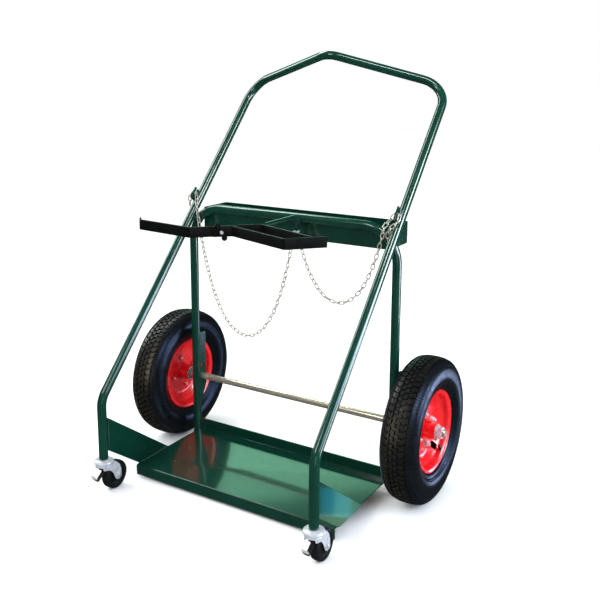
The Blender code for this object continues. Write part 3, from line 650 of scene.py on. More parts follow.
def weld_middle(bm):
    """Beads of the tool tray and of the centre rod's two ends."""
    for x in (-0.26, -0.10, 0.09, 0.25):
        weld(bm, [(x - 0.016, 0.4320, POST_TOP_Z - 0.0030), (x + 0.016, 0.4320, POST_TOP_Z - 0.0030)], 0.0024)
    for face in (-1, 1):
        x, y = ROD_X + face * 0.0040, POST_Y - TUBE_R - 0.0006
        weld(bm, [(x, y, 0.734), (x, y, 0.750)], 0.0022)
        weld(bm, [(x - 0.003, 0.4005, 0.7244), (x + 0.003, 0.4005, 0.7244)], 0.0020)
    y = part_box("centre_rod")[0].y - SHIFT.y
    weld(bm, [(ROD_X - 0.0058, y + 0.0006, 0.754), (ROD_X, y + 0.0012, 0.7526),
              (ROD_X + 0.0058, y + 0.0006, 0.754)], 0.0020)


def make_welds():
    bm = bmesh.new()
    for _, sign in SIDES:
        weld_plates(bm, sign)
        weld_hook(bm, sign)
        weld_crossing(bm, sign)
    weld_middle(bm)
    finished(bm, "weld_beads", "frame", [GREEN], sharp=80)


# --- axle and wheels ---
def make_axle():
    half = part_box("axle")[1].x
    thread = half - AXLE_THREAD
    right = threads(half - 0.0016, thread, AXLE_R - 0.0001, 0.0008, 16)
    right = [(half, 0.0), (half, AXLE_R - 0.0016), (half - 0.0014, AXLE_R - 0.0002)] + right
    right += [(thread, AXLE_R - 0.0001), (thread - 0.001, AXLE_R)]
    middle_at = (0, WHEEL_Y, WHEEL_R)
    bm = bmesh.new()
    turn(bm, mirrored(right), middle_at, steps=64, closed=False)
    finished(bm, "axle_bar", "frame", [AXLE_ZINC], ["axle"])
    for side, _ in SIDES:
        for piece, node, radius, b, mat, slot in (
                ("spacer_tube", "axle_spacer", 0.0122, 0.0005, AXLE_ZINC, "axle_zinc"),
                ("washer", "axle_washer", 0.0185, 0.0004, ZINC, "zinc")):
            x0, x1 = x_span(f"{node}_{side}")
            bm = bmesh.new()
            turn(bm, [(x0, AXLE_BORE), (x0, radius - b), (x0 + b, radius), (x1 - b, radius),
                      (x1, radius - b), (x1, AXLE_BORE)], middle_at, steps=64)
            finished(bm, f"{piece}_{side}", "frame", [mat], [f"{node}_{side}"])
        x0, x1 = x_span(f"axle_nut_{side}")
        bm = bmesh.new()
        hex_nut(bm, ((x0 + x1) / 2, WHEEL_Y, WHEEL_R), (1, 0, 0), NUT_CORNER_R, x1 - x0, 0.0, AXLE_BORE)
        finished(bm, f"hex_nut_{side}", "frame", [ZINC], [f"axle_nut_{side}"])


def mirrored(half):
    """One side of a profile of (along, radius), followed by the other side."""
    return half + [(-x, r) for x, r in reversed(half)]


def contour(angle):
    """The tyre's outside at an angle from its widest line, 0, to its crown, 90: (across, radius)."""
    a = math.radians(angle)
    rise = (WHEEL_R - TYRE_MID_R) * math.copysign(abs(math.sin(a)) ** 0.9, a)
    return TYRE_HALF * max(math.cos(a), 0.0) ** 0.62, TYRE_MID_R + rise


def crown_line():
    """The outside from the crown down to the widest line, each point with its arc length."""
    line, length = [], 0.0
    for k in range(361):
        point = Vector(contour(90 - k * 0.25))
        if line:
            length += (point - line[-1][1]).length
        line.append((length, point))
    return line


CROWN_LINE = crown_line()


def on_crown(u, depth=0.0):
    """The point at an arc length from the crown's middle, and a depth below the surface."""
    last = len(CROWN_LINE) - 1
    reach = abs(u)
    k = next((i for i, (s, _) in enumerate(CROWN_LINE) if s > reach), last)
    (s0, p0), (s1, p1) = CROWN_LINE[k - 1], CROWN_LINE[k]
    p = p0.lerp(p1, (reach - s0) / (s1 - s0))
    ahead = 6               # the slope is taken over this many points to each side
    along = (CROWN_LINE[min(k + ahead - 1, last)][1] - CROWN_LINE[max(k - ahead, 0)][1]).normalized()
    if k <= ahead:
        along = Vector((1.0, 0.0)).lerp(along, k / (ahead + 1)).normalized()
    p += Vector((along.y, -along.x)) * depth
    return (-p.x if u < 0 else p.x), p.y


def tyre_loop():
    """The tyre's section as a closed loop of (across, radius), cut back to the tread's grooves."""
    outer = []
    for k in range(41):
        u = 0.0476 * k / 40
        outer.append(on_crown(u, TREAD_DEPTH * min(1.0, max(0.0, (0.0340 - u) / 0.0035))))
    outer += [contour(angle) for angle in (24, 20, 16, 12, 8, 4, 0, -3)]
    raised = {-12: 0.0009, -13: 0.0009, -30: 0.0007, -31: 0.0007}      # rings on the sidewall
    for angle in range(-6, -44, -1):
        x, r = contour(angle)
        outer.append((x + raised.get(angle, 0.0), r))
    bead = [(0.0395, 0.1205), (0.0372, 0.1172), (0.0352, 0.1150), (0.0326, 0.1142), (0.0300, 0.1136)]
    inside = [(0.0262, 0.1070), (0.0232, 0.1085), (0.0240, 0.1145), (0.0300, 0.1215), (0.0385, 0.1350),
              (0.0420, 0.1560), (0.0385, 0.1740), (0.0290, 0.1850), (0.0150, 0.1885)]
    half = outer + bead + inside
    return half + [(0.0, 0.1890)] + [(-x, r) for x, r in half[:0:-1]]


def tread_blocks():
    """Staggered centre and outer blocks on both halves of the tread."""
    bm = bmesh.new()
    pitch = math.tau * WHEEL_R / TREAD_PITCHES
    near, far = SIDE_BLOCK
    for k in range(TREAD_PITCHES):
        for half in (-1, 1):
            s = k * pitch + (pitch / 2 if half < 0 else 0.0)
            add_block(bm, [(half * 0.0014, s - 0.0048, s + 0.0050), (half * 0.0060, s - 0.0060, s + 0.0056),
                           (half * 0.0112, s - 0.0050, s + 0.0046)], TREAD_DEPTH)
            rows = []
            for i in range(11):
                out = i / 10
                mid = s + pitch * 0.42 + 0.0030 * math.sin(math.pi * out * 1.6) + 0.0025 * out
                wide = pitch * 0.39 - (0.0010 if i == 0 else 0.0)
                rows.append((half * (near + (far - near) * i / 10), mid - wide, mid + wide))
            add_block(bm, rows, TREAD_DEPTH)
    return bm


def shoulder_ribs():
    """Fine ribs across both shoulders, two to each pitch of the tread."""
    bm = bmesh.new()
    pitch = math.pi * WHEEL_R / TREAD_PITCHES
    for k in range(TREAD_PITCHES * 2):
        at = (k + 0.5) * pitch
        for half in (-1, 1):
            rows = [(half * u, at - RIB_HALF, at + RIB_HALF) for u in RIB_STATIONS]
            add_block(bm, rows, 0.0, -RIB_HEIGHT)
    # The ribs take the sidewall material, so its painted blue sheen lies on them, with the tread material
    # between them.
    for face in bm.faces:
        face.material_index = 1
    return bm


def make_tyre(side, sign):
    centre = Vector((sign * WHEEL_X, WHEEL_Y, WHEEL_R))
    bm = bmesh.new()
    turn(bm, tyre_loop(), centre, steps=216)
    for face in bm.faces:
        c = face.calc_center_median() - centre
        # Faces outside the tread take the sidewall material with its painted blue sheen.
        in_tread = math.hypot(c.y, c.z) > 0.180 and abs(c.x) < 0.0425
        face.material_index = 0 if in_tread else 1
    merge(bm, tread_blocks(), Matrix.Translation(centre))
    merge(bm, shoulder_ribs(), Matrix.Translation(centre))
    finished(bm, f"tyre_cover_{side}", f"wheel_{side}", [TREAD, SIDEWALL], [f"tyre_{side}"],
             sharp=38)


def add_block(bm, stations, depth, lift=0.0):
    """A tread block: at each (u, from, to) station it covers a stretch round the tyre, in metres.

    lift is the depth of its top below the tyre's outline; a block sinks a little into what is under it.
    """
    foot = depth + 0.0010
    soft, flare = (0.0007, 0.0006) if depth else (0.0003, 0.0002)
    way = 1 if stations[-1][0] > stations[0][0] else -1
    (u0, *first), (u1, *last) = stations[0], stations[-1]
    rows = [(u0 - way * flare, *first, "foot"), (u0, *first, "edge"), (u0 + way * soft, *first, "top")]
    rows += [(*station, "top") for station in stations[1:-1]]
    rows += [(u1 - way * soft, *last, "top"), (u1, *last, "edge"), (u1 + way * flare, *last, "foot")]
    rings = []
    for u, start, end, kind in rows:
        if kind == "foot":
            levels = ((start - flare, foot), (start + soft, foot), (end - soft, foot), (end + flare, foot))
        else:
            top = lift if kind == "top" else lift + soft
            levels = ((start - flare, foot), (start, soft + lift), (start + soft, top),
                      (end - soft, top), (end, soft + lift), (end + flare, foot))
        ring = []
        for s, down in levels:
            x, r = on_crown(u, down)
            ring.append(bm.verts.new((x, r * math.cos(s / WHEEL_R), r * math.sin(s / WHEEL_R))))
        rings.append(ring)
    for f, e in ((rings[0], rings[1]), (rings[-1], rings[-2])):
        bm.faces.new((f[0], e[0], e[1]))
        for k in range(3):
            bm.faces.new((f[k], e[k + 1], e[k + 2], f[k + 1]))
        bm.faces.new((f[3], e[4], e[5]))
        bm.faces.new((*f, e[5], e[0]))
    for a, b in zip(rings[1:], rings[2:-1]):
        strip(bm, a, b)


def shell(profile, wall):
    """A closed loop round an open 2D line, with half the wall on each side."""
    left, right = [], []
    for k, (x, y) in enumerate(profile):
        a = Vector(profile[max(k - 1, 0)])
        b = Vector(profile[min(k + 1, len(profile) - 1)])
        d = (b - a).normalized()
        n = Vector((-d.y, d.x)) * wall / 2
        left.append((x + n.x, y + n.y))
        right.append((x - n.x, y - n.y))
    return left + right[::-1]


def smooth_line(points, rounds=2, cut=0.22):
    """Rounds the inner corners of an open 2D line, cutting this share off each run's ends."""
    keep = 1 - cut
    for _ in range(rounds):
        made = [points[0]]
        for a, b in zip(points, points[1:]):
            made.append((a[0] * keep + b[0] * cut, a[1] * keep + b[1] * cut))
            made.append((a[0] * cut + b[0] * keep, a[1] * cut + b[1] * keep))
        points = made + [points[-1]]
    return points


def valve_hole(side, sign):
    """A cutter for the slot in the rim that the valve comes out of."""
    a = math.radians(VALVE_TURN[side])
    at = Vector((sign * (WHEEL_X + 0.012), WHEEL_Y, WHEEL_R)) + round_axle(a) * VALVE_HOLE_R
    cutter = bmesh.new()
    slot = rounded_rect(0.0090, 0.0110, 0.0055, 6)
    plate(cutter, [slot], 0.060, stand(at, round_axle(a + math.pi / 2), round_axle(a)), 0.0002)
    return cutter


def make_rim(side, sign):
    centre = Vector((sign * WHEEL_X, WHEEL_Y, WHEEL_R))
    mid = RIM_SHEET / 2 + 0.0002
    dish = [(mid, 0.0243), (mid, 0.0560), (mid, 0.074), (0.0128, 0.0905), (0.0168, 0.0985),
            (0.0295, 0.1012), (0.0325, 0.1060), (0.0335, 0.1105), (0.0350, 0.1128)]
    for half, face, cutters in (("outer", sign, [valve_hole(side, sign)]), ("inner", -sign, [])):
        bm = bmesh.new()
        turn(bm, shell(smooth_line(dish), RIM_SHEET), centre, steps=120, face=face)
        finished(bm, f"rim_{half}_half_{side}", f"wheel_{side}", [RED],
                 [f"rim_{half}_{side}"], cutters=cutters)
    washer = [(0.0, 0.0), (0.0, 0.0092), (0.0003, 0.0095), (0.0013, 0.0095), (0.0016, 0.0092), (0.0016, 0.0)]
    pin = mirrored([(-0.0140, 0.0), (-0.0140, 0.0032), (-0.0133, 0.0039)])
    out = Vector((sign, 0, 0))
    shanks, heads = bmesh.new(), bmesh.new()
    for k in range(RIM_BOLTS):
        a = math.radians(RIM_BOLT_START + 360 / RIM_BOLTS * k)
        at = centre + round_axle(a) * RIM_BOLT_CIRCLE
        turned_along(shanks, washer, at + out * (RIM_SHEET + 0.0002), out, 32)
        hex_nut(shanks, at + out * (RIM_SHEET + 0.0050), out, 0.0080, 0.0062, a)
        turned_along(shanks, pin, at + out * 0.0025, (1, 0, 0), 24)
        hex_nut(heads, at - out * (RIM_SHEET + 0.0024), out, 0.0072, 0.0044, a)
    finished(shanks, f"rim_bolts_{side}", f"wheel_{side}", [ZINC])
    finished(heads, f"rim_bolt_heads_{side}", f"wheel_{side}", [RED])


def make_hub(side, sign):
    """The hub's tube with two knurled collars, and the bearing in each of its ends."""
    centre = Vector((sign * WHEEL_X, WHEEL_Y, WHEEL_R))
    x0, x1 = x_span(f"hub_{side}")
    reach = (x1 - x0) / 2
    outer, bore, b = HUB_R, HUB_BORE_R, 0.0006
    bm = bmesh.new()
    turn(bm, mirrored([(-0.0276, bore - 0.0015), (-0.0282, bore), (b - reach, bore), (-reach, bore + b),
                       (-reach, outer - b), (b - reach, outer), (-0.0040, outer),
                       (-0.0024, outer + 0.0016)]), centre, steps=72)
    angles = [math.tau * k / 72 for k in range(72)]
    knurl = [1 + 0.14 * math.cos(24 * a) for a in angles]
    for face in (-1, 1):
        ring = [centre + Vector((face * 0.0030, 0, 0)) + round_axle(a) * 0.0262 for a in angles]
        sweep(bm, ring, circle(0, 0, 0.0022, 8), closed=True, up=(1, 0, 0), size=knurl)
    finished(bm, f"hub_tube_{side}", f"wheel_{side}", [RED], [f"hub_{side}"])
    for half in ("outer", "inner"):
        x0, x1 = x_span(f"bearing_{half}_{side}")
        w, e, groove = (x1 - x0) / 2, 0.0004, 0.0006
        at = Vector(((x0 + x1) / 2, WHEEL_Y, WHEEL_R))
        bm = bmesh.new()
        turn(bm, mirrored([(e - w, AXLE_BORE), (-w, AXLE_BORE + e), (-w, 0.0135), (groove - w, 0.0138),
                           (groove - w, 0.0174), (-w, 0.0177), (-w, 0.0209 - e), (e - w, 0.0209)]),
             at, steps=64)
        for f in bm.faces:
            c = f.calc_center_median() - at
            if 0.0136 < math.hypot(c.y, c.z) < 0.0176 and abs(c.x) > w - 0.0009:
                f.material_index = 1
        finished(bm, f"ball_bearing_{half}_{side}", f"wheel_{side}", [ZINC, SEAL],
                 [f"bearing_{half}_{side}"])


def make_valve(side):
    profile = [(0.0100, 0.0), (0.0100, 0.0041), (0.0060, 0.0041), (0.0020, 0.0032), (-0.0040, 0.0030),
               (-0.0042, 0.0034)]
    profile += threads(-0.0046, -0.0094, 0.0036, 0.0003, 3)
    profile += [(-0.0092, 0.0034), (-0.0099, 0.0026), (-0.0099, 0.0)]
    bm = bmesh.new()
    away = round_axle(math.radians(VALVE_TURN[side]))
    turned_along(bm, profile, middle(f"valve_{side}") - SHIFT, away, 32)
    finished(bm, f"valve_stem_{side}", f"wheel_{side}", [CASTOR_RUBBER], [f"valve_{side}"])


# --- cylinder clamp ---
ALONG = (CLAMP_PEAK - CLAMP_BEND).normalized()
OUT = Vector((ALONG.y, -ALONG.x))
PIVOT = CLAMP_BEND.lerp(CLAMP_PEAK, 0.42)


def on_bolt(reach):
    return (PIVOT + OUT * reach).to_3d() + Vector((0, 0, CLAMP_Z))


def flat_bar(name, body, node, corners, bend):
    """A bar of the clamp through the corners, drilled for the bolt."""
    path = rounded_path([(x, y, CLAMP_Z) for x, y in corners], [bend] * (len(corners) - 2), 8)
    bm = bmesh.new()
    sweep(bm, path, rounded_rect(CLAMP_T / 2, CLAMP_H / 2, 0.0010, 3), up=(0, 0, 1))
    hole = drill(BOLT_HOLE_R, aimed(on_bolt(CLAMP_T / 2), OUT.to_3d()))
    finished(bm, name, body, [BLACK], [node], cutters=[hole])


def make_clamp():
    flat_bar("clamp_flat_bar", "frame", "clamp_bar", CLAMP_BAR, 0.010)
    tab = [PIVOT + ALONG * reach + OUT * (CLAMP_T + GAP) for reach in ARM_TAB]
    flat_bar("clamp_swing_bar", "clamp_arm", "clamp_arm", [tuple(p) for p in tab] + ARM_END, 0.008)

    tip, head = BOLT_REACH, -(CLAMP_T / 2 + GAP)
    profile = [(head - 0.0030, 0.0), (head - 0.0029, 0.0030), (head - 0.0022, 0.0058),
               (head - 0.0010, 0.0074), (head - 0.0003, 0.0079), (head, 0.0076), (head, BOLT_R),
               (0.0082, BOLT_R)]
    profile += threads(0.0084, tip - 0.0010, BOLT_R, 0.0005, 22)
    profile += [(tip - 0.0009, 0.0038), (tip, 0.0030), (tip, 0.0)]
    bm = bmesh.new()
    turned_along(bm, profile, on_bolt(0.0), OUT.to_3d(), 48)
    finished(bm, "clamp_carriage_bolt", "frame", [ZINC], ["clamp_bolt"])
    make_wing_nut()


def make_wing_nut():
    h = WING_BOSS_T / 2
    seat = on_bolt(1.5 * CLAMP_T + 3 * GAP + h)
    bm, boss = bmesh.new(), bmesh.new()
    turn(boss, [(-h, BOLT_HOLE_R), (-h, 0.0075), (-h + 0.0005, 0.0080), (-h + 0.0020, 0.0080),
                (h - 0.0016, 0.0069), (h - 0.0004, 0.0065), (h, 0.0060), (h, BOLT_HOLE_R)],
         (0, 0, 0), "Z", 48)
    merge(bm, boss, aimed(seat, OUT.to_3d()))
    level, upright = ALONG.to_3d(), Vector((0, 0, 1))
    across = level * math.cos(WING_TILT) + upright * math.sin(WING_TILT)
    rise = upright * math.cos(WING_TILT) - level * math.sin(WING_TILT)
    for sign in (1, -1):
        outline = arc(0.0, sign * WING_REACH, WING_END_R, -40 * sign, 220 * sign, 20)
        outline += [(-0.0050, sign * 0.0100), (-0.0052, sign * 0.0055), (0.0052, sign * 0.0055),
                    (0.0050, sign * 0.0100)]
        plate(bm, [outline], 0.0036, stand(seat, across, rise), 0.0010)
    finished(bm, "wing_nut_casting", "wing_nut", [BLACK], ["wing_nut"])


def make_centre_rod():
    """The rod that carries the clamp, and the small plate and screw that both chains hang from."""
    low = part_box("centre_rod")[0]
    corners = [(ROD_X, low.y - SHIFT.y, ROD_Z), (ROD_X, ROD_DROP_Y, ROD_Z), (ROD_X, ROD_DROP_Y, low.z)]
    bm = bmesh.new()
    sweep(bm, rounded_path(corners, [0.012]), circle(0, 0, ROD_R))
    finished(bm, "rod_bar", "frame", [GREEN], ["centre_rod"])
    low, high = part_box("anchor_tab")
    bolt_x, bolt_z = ANCHOR_BOLT
    edge = [(low.x, low.z), (high.x, low.z), (high.x, high.z), (low.x, high.z)]
    bm = bmesh.new()
    plate(bm, [edge, circle(bolt_x, bolt_z, 0.0033, 24)], 0.003,
          stand((0, ROD_DROP_Y, 0), (1, 0, 0), (0, 0, 1)))
    finished(bm, "anchor_plate", "frame", [GREEN], ["anchor_tab"])
    profile = [(0.0, 0.0), (0.0, 0.0030)] + threads(0.012, 0.0290, 0.0030, 0.0004, 15)
    profile += [(0.0294, 0.0028), (0.0300, 0.0022), (0.0300, 0.0)]
    bm = bmesh.new()
    turned_along(bm, profile, (bolt_x, ROD_DROP_Y - 0.0205, bolt_z), (0, 1, 0), 32)
    hex_nut(bm, (bolt_x, ROD_DROP_Y - 0.0225, bolt_z), (0, 1, 0), 0.0065, 0.0045, 0.3)
    hex_nut(bm, (bolt_x, ROD_DROP_Y + 0.0042, bolt_z), (0, 1, 0), 0.0064, 0.0044, 0.1)
    finished(bm, "anchor_screw", "frame", [ZINC], ["anchor_bolt"])


# --- chains ---
def make_chain_hooks():
    near = TUBE_R + GAP
    outline = [(near, -0.019)] + arc(0.0370, -0.0160, 0.003, -90, 0, 4)
    outline += arc(0.0385, 0.0175, 0.0015, 0, 90, 3)
    outline += [(0.0305, 0.019)] + arc(0.0280, 0.0010, 0.0025, 0, -180, 10) + [(0.0255, 0.019), (near, 0.019)]
    for side, sign in SIDES:
        bm = bmesh.new()
        at = (sign * HOOP_X, follow_lean(HOOK_Z), HOOK_Z)
        plate(bm, [outline], HOOK_T, stand(at, LEAN_FRONT, LEAN_UP), 0.0005)
        finished(bm, f"slotted_tab_{side}", "frame", [GREEN], [f"chain_hook_{side}"])


def catenary(start, end, length, count=400):
    """Points at even steps along a chain of a length that hangs between two points."""
    flat = Vector((end.x - start.x, end.y - start.y, 0.0))
    span, rise = flat.length, end.z - start.z
    low, high = 1e-3, 50.0
    target = math.sqrt(length ** 2 - rise ** 2)
    for _ in range(80):
        scale = (low + high) / 2
        if 2 * scale * math.sinh(span / (2 * scale)) > target:
            low = scale
        else:
            high = scale
    mid = span / 2 - scale * math.asinh(rise / (2 * scale * math.sinh(span / (2 * scale))))
    drop = scale * math.cosh(mid / scale)
    points = []
    for k in range(count + 1):
        run = scale * math.asinh(math.sinh(-mid / scale) + length * k / count / scale) + mid
        z = start.z + scale * math.cosh((run - mid) / scale) - drop
        points.append(Vector((start.x, start.y, z)) + flat * (run / span))
    return points


LINK = arc(LINK_STRAIGHT / 2, 0.0, LINK_R, -90, 90, 7) + arc(-LINK_STRAIGHT / 2, 0.0, LINK_R, 90, 270, 7)


def add_link(bm, at, ahead, side):
    path = [at + ahead * u + side * v for u, v in LINK]
    sweep(bm, path, circle(0, 0, WIRE_R, 9), closed=True, up=ahead.cross(side))


def add_links(bm, path, first=0, start=0.0, twist=0.0):
    """Links at every pitch along the path, each turned about a quarter from the one before."""
    pts = [Vector(p) for p in path]
    gone, want, count = 0.0, start, first
    side = None
    for a, b in zip(pts, pts[1:]):
        step = b - a
        ahead = step.normalized()
        while want <= gone + step.length + 1e-9:
            if side is None:
                side = Matrix.Rotation(twist, 3, ahead) @ ahead.orthogonal().normalized()
            side = (side - ahead * side.dot(ahead)).normalized()
            angle = (math.pi / 2 if count % 2 else 0.0) + 0.20 * math.sin(count * 2.3)
            at = a + step * ((want - gone) / step.length)
            add_link(bm, at, ahead, Matrix.Rotation(angle, 3, ahead) @ side)
            count += 1
            want += LINK_PITCH
        gone += step.length


def make_chains():
    tails = {"left": [(-0.3490, 0.4216, 0.7880), (-0.3560, 0.4216, 0.7800), (-0.3565, 0.4216, 0.7440)],
             "right": [(0.3435, 0.4216, 0.7860), (0.3435, 0.4140, 0.7720), (0.3350, 0.4045, 0.7600),
                       (0.3235, 0.4045, 0.7500), (0.3175, 0.4060, 0.7360), (0.3172, 0.4060, 0.7160)]}
    for side, sign in SIDES:
        anchor = Vector((ANCHOR_BOLT[0] + sign * 0.0085, 0.386, 0.7060))
        drape = Vector((sign * 0.3120, 0.3975, 0.7570))
        hook = (sign * 0.3300, 0.4205, 0.7865)
        slot = (sign * HOOP_X, 0.4216, 0.7880)
        bm = bmesh.new()
        add_links(bm, catenary(anchor, drape, CHAIN_LENGTH[side]) + [hook], start=0.001, twist=0.78)
        add_links(bm, [slot] + tails[side], first=1)
        finished(bm, f"chain_links_{side}", "frame", [CHAIN_ZINC], [f"chain_{side}"], sharp=60)


# --- castors ---
def make_castor(side, sign):
    x = sign * HOOP_X
    make_castor_stem(side, x)
    make_yoke(side, x)
    make_castor_wheel(side)
    make_pedal(side, x)


def make_castor_stem(side, x):
    """The stem inside the leg's tube, with the cup over the ball race below it."""
    top = HOOP_FOOT_Z - GAP
    low = top - CUP_H
    stem_r = TUBE_R - TUBE_WALL - 2 * GAP
    profile = [(top + STEM_LENGTH, 0.0), (top + STEM_LENGTH, stem_r - 0.002),
               (top + STEM_LENGTH - 0.002, stem_r), (top, stem_r), (top, 0.0165), (top - 0.0006, 0.0195),
               (top - 0.0022, 0.0242), (top - 0.0046, 0.0268), (top - 0.0070, CUP_R),
               (low + 0.0016, CUP_R), (low + 0.0010, 0.0250), (low, 0.0225), (low, 0.0215),
               (low + 0.0006, 0.0)]
    bm = bmesh.new()
    turn(bm, profile, (x, 0, 0), "Z", 72, closed=False)
    finished(bm, f"castor_plug_{side}", "frame", [CASTOR_ZINC], [f"castor_stem_{side}"])


def make_yoke(side, x):
    """The fork: a round top with a skirt, a boss inside it, and two cheeks down to the axle bolt."""
    axle_at = middle(f"castor_axle_{side}") - SHIFT
    trail, wheel_z = axle_at.y, axle_at.z
    top, skirt = YOKE_TOP, YOKE_TOP - SKIRT_H
    bm = bmesh.new()
    turn(bm, [(top, 0.0), (top, 0.0222), (top - 0.0008, 0.0233), (top - 0.0037, YOKE_R),
              (top - 0.0045, 0.0228), (top - 0.0045, 0.0)], (x, 0, 0), "Z", 72, closed=False)
    turn(bm, [(top - 0.0042, 0.0212), (top - 0.0040, 0.0228), (top - 0.0050, YOKE_R),
              (skirt + 0.0004, 0.0236), (skirt, 0.0233), (skirt, 0.0226), (skirt + 0.0004, 0.0223),
              (top - 0.0050, 0.0222)], (x, 0, 0), "Z", 72)
    turn(bm, [(top - 0.0040, 0.0), (top - 0.0040, 0.0070), (top - 0.0056, 0.0070), (top - 0.0062, 0.0060),
              (top - 0.0062, 0.0)], (x, 0, 0), "Z", 6, closed=False)
    root = top - 0.0010
    outline = [(-0.0170, root), (-0.0178, root - 0.008), (-0.0168, root - 0.0150),
               (-0.0100, root - 0.0180), (0.0020, root - 0.0205), (0.0110, root - 0.0255),
               (0.0180, root - 0.0340), (0.0232, wheel_z + 0.0040)]
    outline += arc(trail, wheel_z, 0.0120, 195, 372, 16)
    outline += [(0.0490, wheel_z + 0.0160), (0.0440, wheel_z + 0.0300), (0.0340, root - 0.0080),
                (0.0230, root)]
    holes = [circle(trail, wheel_z, 0.0043, 24), circle(*BRAKE_HINGE, BRAKE_PIN_R + GAP, 16)]
    for face in (-1, 1):
        plate(bm, [outline] + holes, CHEEK_T, side_on(x + face * CHEEK_X), 0.0005)
        seam_x = x + face * (CHEEK_X - 0.0006)
        weld(bm, [(seam_x, y, top - 0.0036) for y in (-0.0150, 0.0, 0.0165)], 0.0022)
    finished(bm, f"castor_yoke_{side}", f"castor_{side}", [CASTOR_ZINC], [f"castor_fork_{side}"])

    x0, x1 = x_span(f"castor_axle_{side}")
    half = (x1 - x0) / 2
    bm = bmesh.new()
    turned_along(bm, [(0.001 - half, 0.0), (0.001 - half, 0.0040), (half - 0.0006, 0.0040), (half, 0.0034),
                      (half, 0.0)], axle_at, (1, 0, 0), 32)
    for face in (1, -1):
        nut_at = axle_at + Vector((face * (CHEEK_X + CHEEK_T / 2 + 0.0020), 0, 0))
        hex_nut(bm, nut_at, (1, 0, 0), 0.0068, 0.0040, 0.2)
    finished(bm, f"castor_bolt_{side}", f"castor_{side}", [ZINC], [f"castor_axle_{side}"])


def make_castor_wheel(side):
    axle_at = middle(f"castor_axle_{side}") - SHIFT
    x0, x1 = x_span(f"castor_wheel_{side}")
    w = (x1 - x0) / 2
    half = [(w, 0.0044), (w, 0.0092), (w - 0.0006, 0.0098), (w - 0.0030, 0.0104), (w - 0.0030, 0.0255),
            (w - 0.0026, 0.0262), (w - 0.0006, 0.0272), (w - 0.0002, 0.0345), (w - 0.0006, 0.0364),
            (w - 0.0022, 0.0384), (w - 0.0048, 0.0396), (w - 0.0085, 0.0400)]
    bm = bmesh.new()
    turn(bm, mirrored(half), axle_at)
    for f in bm.faces:
        c = f.calc_center_median() - axle_at
        f.material_index = 0 if math.hypot(c.y, c.z) > 0.0266 else 1
    finished(bm, f"castor_roller_{side}", f"castor_wheel_{side}", [CASTOR_RUBBER, BLACK],
             [f"castor_wheel_{side}"])


def make_pedal(side, x):
    """A strap bent over the brake's pin, down and forward, then up into a wide pale tip."""
    hinge = Vector((x, *BRAKE_HINGE))
    over = BRAKE_PIN_R + GAP + PEDAL_T / 2
    corners = [(-0.0045, -0.0040), (-0.0052, over), (0.0052, over), (0.0058, -0.0140), (-0.0190, -0.0330),
               (-0.0340, -0.0100)]
    path = rounded_path([hinge + Vector((0, y, z)) for y, z in corners], [0.002, 0.002, 0.005, 0.004], 8)
    fine = []
    for a, b in zip(path, path[1:]):
        parts = max(1, int((b - a).length / 0.004))
        fine += [a.lerp(b, i / parts) for i in range(parts)]
    fine.append(path[-1])
    to_tip = [(fine[-1] - p).length for p in fine]
    across = Vector((1, 0, 0))
    narrow, wide = PEDAL_HALF
    tip, pale = PEDAL_TIP
    bm = bmesh.new()
    rings = []
    for k, here in enumerate(fine):
        ahead = (fine[min(k + 1, len(fine) - 1)] - fine[max(k - 1, 0)]).normalized()
        normal = ahead.cross(across)
        half = wide if to_tip[k] < tip else narrow
        half *= {len(fine) - 2: 0.94, len(fine) - 1: 0.80}.get(k, 1.0)
        section = rounded_rect(half, PEDAL_T / 2, 0.0007, 3)
        rings.append([bm.verts.new(here + across * u + normal * v) for u, v in section])
    for k, (a, b) in enumerate(zip(rings, rings[1:])):
        strip(bm, a, b, 1 if to_tip[k] < pale else 0)
    bm.faces.new(rings[0])
    bm.faces.new(rings[-1]).material_index = 1
    finished(bm, f"pedal_sheet_{side}", f"brake_{side}", [BLACK, GREY_TIP],
             [f"brake_pedal_{side}"])


# --- nodes that keep their CAD shape ---
def dress(node, mat):
    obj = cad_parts[node]
    obj.data.materials.clear()
    obj.data.materials.append(mat)


# --- studio ---
HOOPS = ["main_hoop_tube", "inner_hoop_tube"]
TYRES = ["tyre_cover_left", "tyre_cover_right"]
PLATE = ["gusset_plate_right"]
PLATE_AT = (0.332, -0.2, 0.09)
CAMERA_AT = (1.2422, -1.5513, 1.1588)   # y from the legs
CAMERA_TURN = (31.408, 10.744, 0.266)   # yaw, pitch down and roll, in degrees


def softbox(name, at, aim, width, height, power, colour=(1, 1, 1), only=(), never=()):
    """A soft light. only and never name the pieces that it lights, or leaves out."""
    data = bpy.data.lights.new(name, "AREA")
    data.shape = "RECTANGLE"
    data.size, data.size_y = width, height
    data.energy = power
    data.color = colour
    lamp = bpy.data.objects.new(name, data)
    lamp.location = at
    lamp.rotation_euler = (Vector(aim) - Vector(at)).to_track_quat("-Z", "Y").to_euler()
    SCENE.collection.objects.link(lamp)
    if only or never:
        lit = bpy.data.collections.new(name)
        for piece in only or never:
            lit.objects.link(bpy.data.objects[piece])
            lit.collection_objects[-1].light_linking.link_state = "INCLUDE" if only else "EXCLUDE"
        lamp.light_linking.receiver_collection = lit


def make_floor():
    bm = bmesh.new()
    bmesh.ops.create_grid(bm, x_segments=1, y_segments=1, size=14.0)
    floor = add_object("studio_floor", bm)
    floor.data.materials.append(finish_material("studio_floor", (0.88, 0.88, 0.88), (0.92, 0.92, 0.92),
                                                (0.6, 0.8), tone_scale=0.8))
    floor.visible_glossy = False


